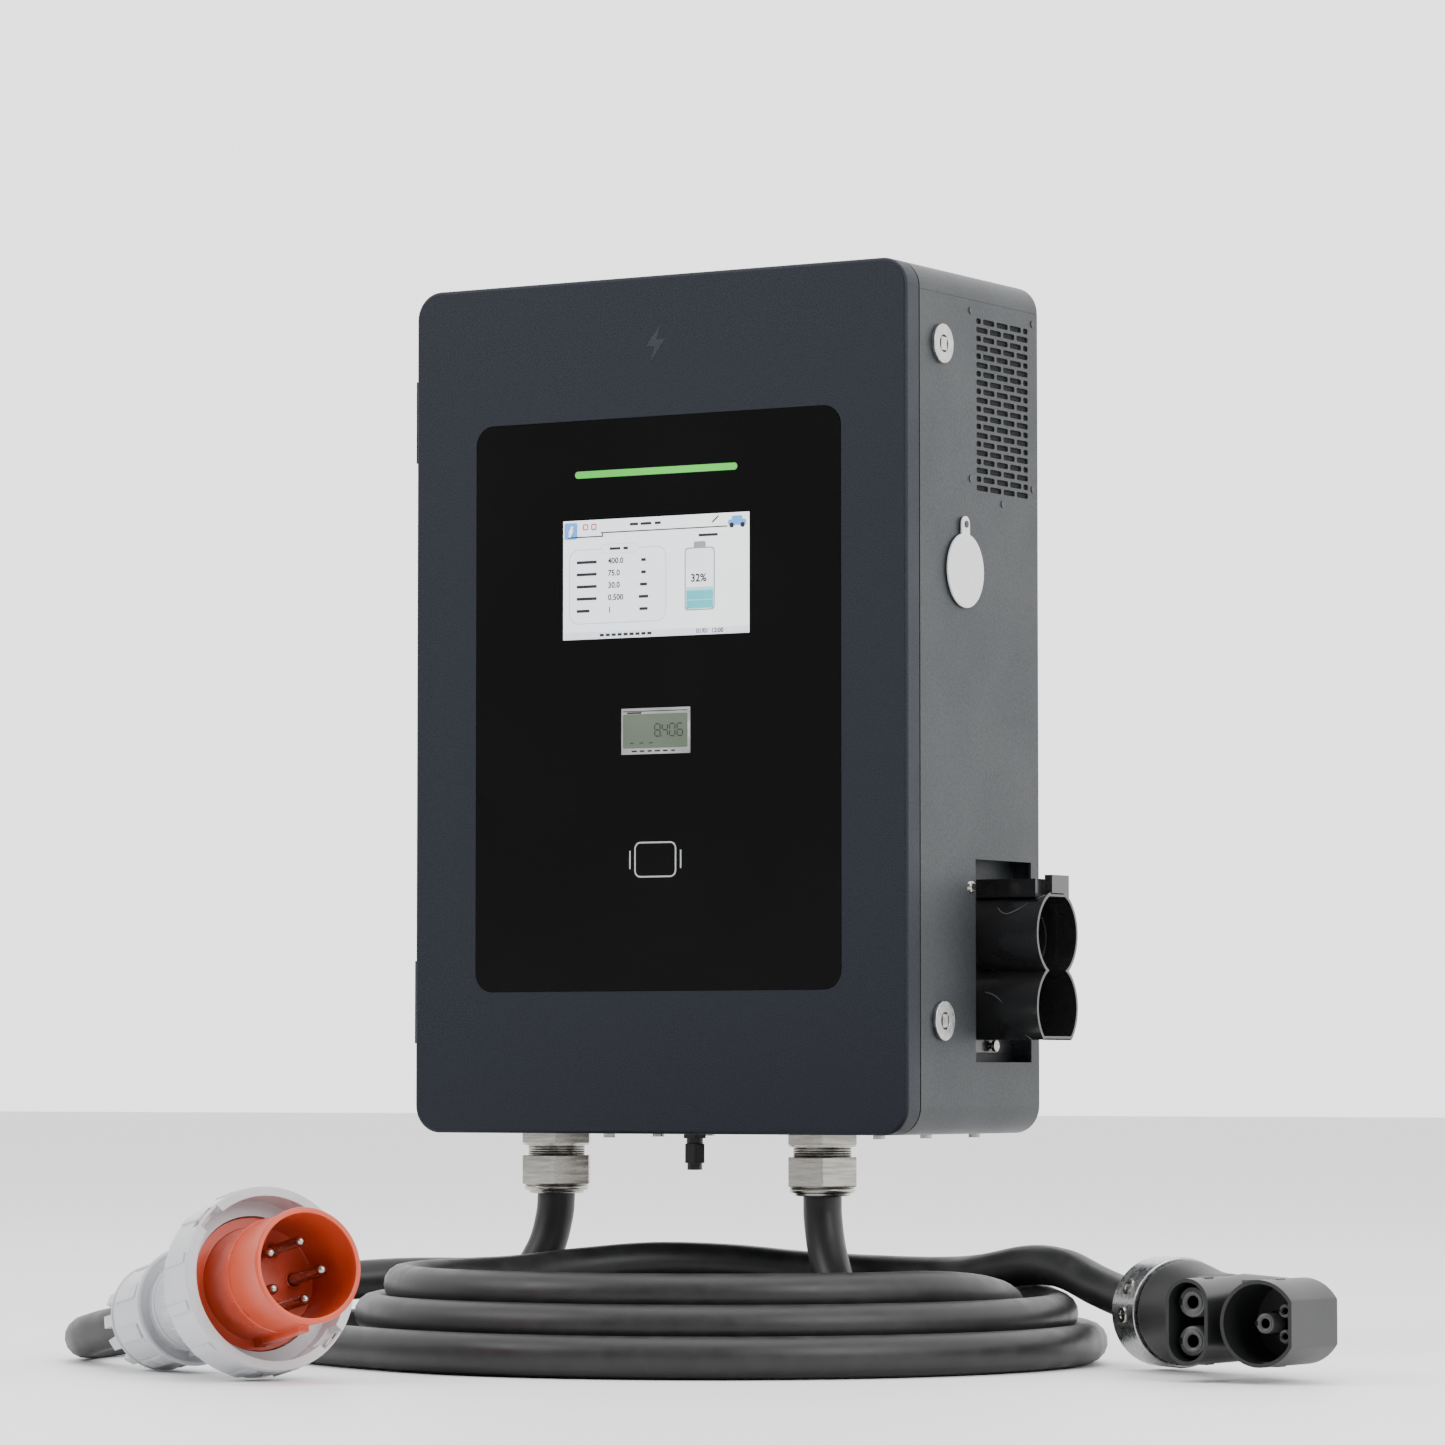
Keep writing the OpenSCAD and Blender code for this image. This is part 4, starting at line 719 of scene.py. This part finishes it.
# Adds a domed screw head with a cross recess, standing on a place's own Z
def addScrewHead(bm, place, radius, height):
    made = bmesh.ops.create_cone(bm, cap_ends=True, segments=32, radius1=radius, radius2=radius * 0.82,
                                 depth=height,
                                 matrix=place @ Matrix.Translation((0, 0, height / 2)))
    top = max({f for v in made["verts"] for f in v.link_faces if len(f.verts) > 4},
              key=lambda f: (place.inverted() @ f.calc_center_median()).z)
    bmesh.ops.bevel(bm, geom=top.edges[:], offset=height * 0.4, offset_type="OFFSET", segments=3, profile=0.5,
                    affect="EDGES", clamp_overlap=True, material=-1)
    for turn in (0, 90):
        spin = place @ Matrix.Rotation(math.radians(turn), 4, "Z")
        addBlock(bm, spin, (-radius * 0.5, -radius * 0.09, height),
                 (radius * 0.5, radius * 0.09, height + 0.00012))


holsterLook = {"radius": 0.0315, "y": -0.0575, "heights": (-0.165, -0.2175), "mouth": 0.2455, "rim": 0.0007,
               "flats": (0.0286, -0.0226), "bead": 0.00045, "screw": (-0.1135, -0.1324), "screwHead": 0.0048}


def makeHolsterTrim():
    look = holsterLook
    middle = sum(look["heights"]) / 2
    bm = bmesh.new()
    edgeRadius = look["radius"] - 0.0011
    for z, flat in zip(look["heights"], look["flats"]):
        ring = bmesh.new()
        addRing(ring, Matrix.Translation((look["mouth"] - look["rim"], look["y"], z))
                @ Matrix.Rotation(math.radians(90), 4, "Y"), edgeRadius, look["rim"], 0, 72)
        away = math.copysign(1, flat)
        for height, outward in ((middle, -away), (z + flat, away)):
            bmesh.ops.bisect_plane(ring, geom=ring.verts[:] + ring.edges[:] + ring.faces[:],
                                   plane_co=(0, 0, height), plane_no=(0, 0, outward), clear_outer=True)
        half = math.sqrt(edgeRadius ** 2 - flat ** 2)
        addBlock(ring, Matrix.Translation((look["mouth"] - look["rim"], look["y"], z + flat)),
                 (-look["rim"], -half, -look["rim"]), (look["rim"], half, look["rim"]), 0.0003)
        mesh = bpy.data.meshes.new("rim")
        ring.to_mesh(mesh)
        ring.free()
        bm.from_mesh(mesh)
        bpy.data.meshes.remove(mesh)
    finishPiece("holsterRims", bm, "cabinet", "darkGrey", (), 60, (), False)
    # raised beads that run along the two tubes, coloured a lighter grey than the holster as painted highlight: place
    # along the tube, and angle up from the front
    beads = [(0, [(200, 66), (205, 52), (211, 34), (218, 24), (226, 30), (235, 44), (244, 60)]),
             (0, [(200, 66), (197, 50), (195, 35), (194, 18)]),
             (1, [(203, 20), (210, 17), (217, 9), (223, -10), (229, -32), (236, -46)])]
    curve = bpy.data.curves.new("holsterBeads", "CURVE")
    curve.dimensions = "3D"
    curve.bevel_depth = look["bead"]
    curve.bevel_resolution = 2
    curve.use_fill_caps = True
    for tube, track in beads:
        spline = curve.splines.new("NURBS")
        spline.points.add(len(track) - 1)
        spline.use_endpoint_u = True
        spline.order_u = 4
        for point, (x, angle) in zip(spline.points, track):
            turn = math.radians(angle)
            point.co = (x / 1000, look["y"] - look["radius"] * math.cos(turn),
                        look["heights"][tube] + look["radius"] * math.sin(turn), 1)
    curve.materials.append(finishes["rimHighlightGrey"])
    bead = bpy.data.objects.new("holsterBeads", curve)
    bpy.context.collection.objects.link(bead)
    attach(bead, "cabinet")
    # upper fixing screw
    bm = bmesh.new()
    y, z = look["screw"]
    place = Matrix.Translation((landOn("side_panel_right", y, z) - 0.0002, y, z)) \
        @ Matrix.Rotation(math.radians(90), 4, "Y")
    addScrewHead(bm, place, look["screwHead"], 0.0026)
    finishPiece("holsterScrew", bm, "cabinet", "nickel")


makeHolsterTrim()
print("right side ready")

# ---- glands ----

glandLook = {"across": (-0.145, 0.081), "firstThread": 0.0098, "threadRadius": 0.0203, "threadTube": 0.0009,
             "pitch": 0.0018, "turns": 5,
             "lips": ((0.0215, 0.0024, 0.0405), (0.0185, 0.0020, 0.0430), (0.0236, 0.0007, 0.0378))}
softened("gland_bodies", "glandBodies", "cabinet", "nickel", 0.0008)
softened("gland_nuts", "glandNuts", "cabinet", "nickel", 0.0011)
softened("network_gland", "networkGland", "cabinet", "black", 0.0006)


def makeGlandThreads():
    bm = bmesh.new()
    y = (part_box("gland_bodies")[0][1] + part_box("gland_bodies")[1][1]) / 2
    low = cabinetLow[2]
    for x in glandLook["across"]:
        for i in range(glandLook["turns"]):
            addRing(bm, Matrix.Translation((x, y, low - glandLook["firstThread"] - i * glandLook["pitch"])),
                    glandLook["threadRadius"], glandLook["threadTube"])
    finishPiece("glandThreads", bm, "cabinet", "nickel", (), 60, (), False)
    bm = bmesh.new()
    for x in glandLook["across"]:
        for radius, tube, drop in glandLook["lips"]:
            addRing(bm, Matrix.Translation((x, y, low - drop)), radius, tube)
    finishPiece("glandLips", bm, "cabinet", "nickel", (), 60, (), False)


makeGlandThreads()
print("glands ready")

# ---- five-pin plug ----

plugLook = {"place": (-0.180, -0.572, -0.4320), "turn": -28, "tilt": 10.6, "ribs": 12, "fins": 24,
            "nutRibs": 8, "pins": 5, "pinCircle": 0.020}
plugFrame = Matrix.Translation(plugLook["place"]) @ Matrix.Rotation(math.radians(plugLook["turn"]), 4, "Z") \
    @ Matrix.Rotation(math.radians(90 - plugLook["tilt"]), 4, "Y")
softened("plug_nut", "plugNut", "cabinet", "plugGrey", 0.0009)
softened("plug_body", "plugBody", "cabinet", "plugGrey", 0.0012)
softened("plug_ring", "plugRing", "plug_ring", "plugGrey", 0.0016)
softened("plug_sleeve", "plugSleeve", "cabinet", "plugRed", 0.0009)


def makePlugRibs():
    bm = bmesh.new()
    for i in range(plugLook["ribs"]):
        place = plugFrame @ Matrix.Rotation(math.tau * (i + 0.5) / plugLook["ribs"], 4, "Z")
        addBlock(bm, place, (0.0575, -0.0035, 0.1585), (0.0612, 0.0035, 0.186), 0.0009)
    addRing(bm, plugFrame, 0.0594, 0.0012, 0.1905, 64)
    finishPiece("plugRingRibs", bm, "plug_ring", "plugGrey")
    bm = bmesh.new()
    for i in range(plugLook["fins"]):
        place = plugFrame @ Matrix.Rotation(math.tau * i / plugLook["fins"], 4, "Z")
        addBlock(bm, place, (0.028, -0.0007, 0.118), (0.0425, 0.0007, 0.1415), 0.0003)
    for radius, height, tube in ((0.0383, 0.0735, 0.0016), (0.0304, 0.080, 0.0012), (0.0293, 0.0985, 0.0012)):
        addRing(bm, plugFrame, radius, tube, height, 64)
    finishPiece("plugFins", bm, "cabinet", "plugGrey")
    bm = bmesh.new()
    for i in range(plugLook["nutRibs"]):
        place = plugFrame @ Matrix.Rotation(math.tau * (i + 0.5) / plugLook["nutRibs"], 4, "Z")
        addBlock(bm, place, (0.0335, -0.0052, 0.030), (0.0362, 0.0052, 0.060), 0.0008)
    addRing(bm, plugFrame, 0.0349, 0.0014, 0.0645, 64)
    addRing(bm, plugFrame, 0.0349, 0.0012, 0.0255, 64)
    finishPiece("plugNutRibs", bm, "cabinet", "plugGrey")
    bm = bmesh.new()
    addRing(bm, plugFrame, 0.0368, 0.0011, 0.2445, 72)
    addRing(bm, plugFrame, 0.0371, 0.0008, 0.205, 72)
    for i in range(plugLook["pins"]):
        turn = Matrix.Rotation(math.radians(90 + i * 360 // plugLook["pins"]), 4, "Z")
        addRing(bm, plugFrame @ turn @ Matrix.Translation((plugLook["pinCircle"], 0, 0)), 0.0052, 0.0009, 0.1842, 24)
    finishPiece("plugSleeveRims", bm, "cabinet", "plugRed")


makePlugRibs()
print("plug ready")

# ---- vehicle connector ----

gunLook = {"place": (0.409, -0.221, -0.424), "turn": -93, "lean": 55, "face": 0.150,
           "top": 0.1565, "low": 0.1040, "levels": 2, "windowReach": 0.0281}
gunFrame = Matrix.Translation(gunLook["place"]) @ Matrix.Rotation(math.radians(gunLook["turn"]), 4, "Z")
handleAxis = Vector((math.cos(math.radians(gunLook["lean"])), math.sin(math.radians(gunLook["lean"])), 0))
softened("gun_head", "connectorHead", "cabinet", "darkGrey", 0.0010)
softened("gun_collar", "connectorCollar", "cabinet", "aluminium", 0.0010)


# Adds one oval ring of a loft and returns its edges
def addOval(bm, centre, along, wide, deep, sides=16):
    side = Vector((0, 0, 1))
    other = side.cross(along).normalized()
    turn = Matrix((other, side, along)).transposed().to_4x4()
    made = bmesh.ops.create_circle(bm, cap_ends=False, segments=sides, radius=1,
                                   matrix=gunFrame @ Matrix.Translation(centre) @ turn
                                   @ Matrix.Diagonal((deep, wide, 1, 1)))
    return list({e for v in made["verts"] for e in v.link_edges})


def loft(bm, rings, sides=16, closed=True):
    last = None
    for i, (centre, along, wide, deep) in enumerate(rings):
        edges = addOval(bm, Vector(centre), Vector(along).normalized(), wide, deep, sides)
        if last:
            bmesh.ops.bridge_loops(bm, edges=last + edges)
        if closed and i in (0, len(rings) - 1):
            bmesh.ops.contextual_create(bm, geom=edges)
        last = edges


def smoothed(piece):
    finer = piece.modifiers.new("Subdivision", "SUBSURF")
    finer.levels = finer.render_levels = gunLook["levels"]


def makeGrip():
    bm = bmesh.new()
    stations = [(0.0345, 0.0345, 0.0345), (0.0362, 0.0362, 0.0362), (0.044, 0.0362, 0.0362),
                (0.062, 0.0325, 0.0328), (0.082, 0.0296, 0.0300), (0.104, 0.0288, 0.0288),
                (0.124, 0.0292, 0.0296)]
    loft(bm, [(handleAxis * s, handleAxis, wide, deep) for s, wide, deep in stations])
    grip = finishPiece("connectorGrip", bm, "cabinet", "gripRubber", ("gun_grip",), 70, (), False)
    smoothed(grip)
    # hand guard, from the top of the head back to the handle
    bm = bmesh.new()
    outward = Vector((-handleAxis.y, handleAxis.x, 0))
    track = [(0.060, 0.026), (0.066, 0.036), (0.080, 0.048), (0.100, 0.0565), (0.125, 0.0575), (0.148, 0.053),
             (0.164, 0.043), (0.172, 0.030)]
    points = [handleAxis * s + outward * n for s, n in track]
    rings = []
    for i, point in enumerate(points):
        along = points[min(i + 1, len(points) - 1)] - points[max(i - 1, 0)]
        rings.append((point, along, 0.0135, 0.0046))
    loft(bm, rings, 12)
    guard = finishPiece("connectorGuard", bm, "cabinet", "gripRubber", (), 70, (), False)
    smoothed(guard)


makeGrip()


# Adds a tube with rounded lips along a place's own Z
def addTube(bm, place, outer, inner, low, high, lip=0.0006, slotIndex=0):
    addTurned(bm, place, [(outer, low), (outer, high - lip), (outer - lip, high), (inner + lip, high),
                          (inner, high - lip), (inner, low)], 40, slotIndex)


# Height above its shroud's middle, place across, radius, bore and length of each contact
contactLook = {"depth": 0.1042,
               "upper": ((0.0, 0.0, 0.0066, 0.0032, 0.037), (0.0128, 0.0082, 0.0044, 0.0021, 0.034),
                         (0.0128, -0.0082, 0.0044, 0.0021, 0.034)),
               "lower": ((0.0, 0.0125, 0.0098, 0.0042, 0.038), (0.0, -0.0125, 0.0098, 0.0042, 0.038))}


def makeConnectorDetail():
    forward = gunFrame @ Matrix.Rotation(math.radians(90), 4, "Y")   # its own Z points out of the face
    depth = contactLook["depth"]
    bm = bmesh.new()
    for middle, contacts in ((gunLook["top"], contactLook["upper"]), (gunLook["low"], contactLook["lower"])):
        for up, across, radius, bore, length in contacts:
            place = forward @ Matrix.Translation((-across, middle + up, 0))
            # contact sleeves in the lighter rim grey, a painted highlight
            addTube(bm, place, radius, bore, depth, depth + length, 0.0007)
            addTube(bm, place, radius * 0.78, bore * 1.25, depth + length - 0.001, depth + length + 0.0006, 0.0003)
            # black painted shade on the second slot: a sleeve round the contact's foot and a lining down its bore
            addTube(bm, place, radius + 0.0011, radius - 0.0004, depth, depth + length * 0.6, 0.0006, 1)
            addTube(bm, place, bore + 0.0001, bore - 0.0002, depth, depth + length - 0.0012, 0.0001, 1)
            addTube(bm, place, bore * 0.5, bore * 0.2, depth, depth + length * 0.7, 0.0002)
            addBlock(bm, place, (-radius * 0.2, -radius - 0.0004, depth + length * 0.5),
                     (radius * 0.2, -radius * 0.72, depth + length + 0.0008), 0.0002, 1)
            # black painted shade on the second slot: a disc at the floor of the bore
            for face in bmesh.ops.create_circle(bm, cap_ends=True, segments=32, radius=bore,
                                                matrix=place @ Matrix.Translation((0, 0, depth + 0.002)))["verts"]:
                for one in face.link_faces:
                    one.material_index = 1
    finishPiece("connectorContacts", bm, "cabinet", "rimHighlightGrey", ("gun_contacts",), 60, ("contactShade",), False)
    bm = bmesh.new()
    # Painted shade: black plates stand in for the shaded openings of the windows in each shroud's sides; the small
    # block beside each is in the lighter rim grey, a painted highlight
    for side in (-1, 1):
        x, reach = gunLook["face"] - 0.024, gunLook["windowReach"]
        for y in (gunLook["top"], gunLook["low"]):
            addBlock(bm, gunFrame, (x - 0.005, y - 0.0042, side * (reach - 0.0007) - 0.0009),
                     (x + 0.005, y + 0.0042, side * (reach - 0.0007) + 0.0009), 0.0003)
            addBlock(bm, gunFrame, (x + 0.006, y - 0.0036, side * (reach - 0.0026) - 0.0004),
                     (x + 0.013, y + 0.0036, side * (reach - 0.0026) + 0.0004), 0.0002, 1)
    finishPiece("connectorWindows", bm, "cabinet", "black", (), 38, ("rimHighlightGrey",))
    bm = bmesh.new()
    for side in (-1, 1):
        place = gunFrame @ Matrix.Translation((gunLook["face"] - 0.058,
                                               (gunLook["top"] + gunLook["low"]) / 2 - 0.002, side * 0.0205))
        addScrewHead(bm, place @ Matrix.Rotation(math.radians(0 if side > 0 else 180), 4, "X"), 0.0034, 0.0016)
    finishPiece("connectorScrews", bm, "cabinet", "black")
    bm = bmesh.new()
    for turn in (62, 92):
        place = gunFrame @ Matrix.Translation(handleAxis * 0.018) \
            @ Matrix.Rotation(math.radians(gunLook["lean"]), 4, "Z") \
            @ Matrix.Rotation(math.radians(turn), 4, "X")
        addTube(bm, place, 0.0056, 0.0026, 0.0362, 0.0378, 0.0004)
        bmesh.ops.create_cone(bm, cap_ends=True, segments=24, radius1=0.0050, radius2=0.0046, depth=0.0010,
                              matrix=place @ Matrix.Translation((0, 0, 0.0370)))
    finishPiece("collarScrews", bm, "cabinet", "nickel")


makeConnectorDetail()
print("connector ready")

# ---- floor and light ----

studioLook = {"floorColor": (0.94, 0.94, 0.94), "ambient": (0.40, 2.5),          # in front of the wall, behind it
              "lamps": {"key": ((-2.6, -3.2, 2.6), 2.2, 120), "side": ((3.4, -1.6, 1.8), 1.8, 95),
                        "top": ((0.2, -0.6, 3.2), 2.6, 60)}}


def makeStudio():
    bm = bmesh.new()
    bmesh.ops.create_grid(bm, x_segments=1, y_segments=1, size=20,
                          matrix=Matrix.Translation((0, 0, cableSizes["floor"] - 0.0004)))
    mesh = bpy.data.meshes.new("floor")
    bm.to_mesh(mesh)
    bm.free()
    material, tree, shader = startMaterial("paleFloor")
    tree.links.new(mixColors(tree, makeNoise(tree, 0.6, 2), tuple(c * 0.98 for c in studioLook["floorColor"]),
                             studioLook["floorColor"]), shader.inputs["Base Color"])
    setShader(shader, Roughness=0.5)
    mesh.materials.append(material)
    floor = bpy.data.objects.new("floor", mesh)
    bpy.context.collection.objects.link(floor)
    world = bpy.data.worlds.new("studio")
    world.use_nodes = True
    sky = world.node_tree
    where = sky.nodes.new("ShaderNodeTexCoord")
    split = sky.nodes.new("ShaderNodeSeparateXYZ")
    sky.links.new(where.outputs["Generated"], split.inputs["Vector"])
    sky.nodes["Background"].inputs["Color"].default_value = (1, 1, 1, 1)
    sky.links.new(remap(sky, split.outputs["Y"], *studioLook["ambient"], -0.7, 0.7),
                  sky.nodes["Background"].inputs["Strength"])
    bpy.context.scene.world = world
    for name, (place, size, power) in studioLook["lamps"].items():
        data = bpy.data.lights.new(name, "AREA")
        data.shape = "SQUARE"
        data.size = size
        data.energy = power
        lamp = bpy.data.objects.new(name, data)
        lamp.location = place
        aim = Vector((0.1, -0.15, -0.1)) - Vector(place)
        lamp.rotation_euler = aim.to_track_quat("-Z", "Y").to_euler()
        bpy.context.collection.objects.link(lamp)


makeStudio()
print("studio ready")
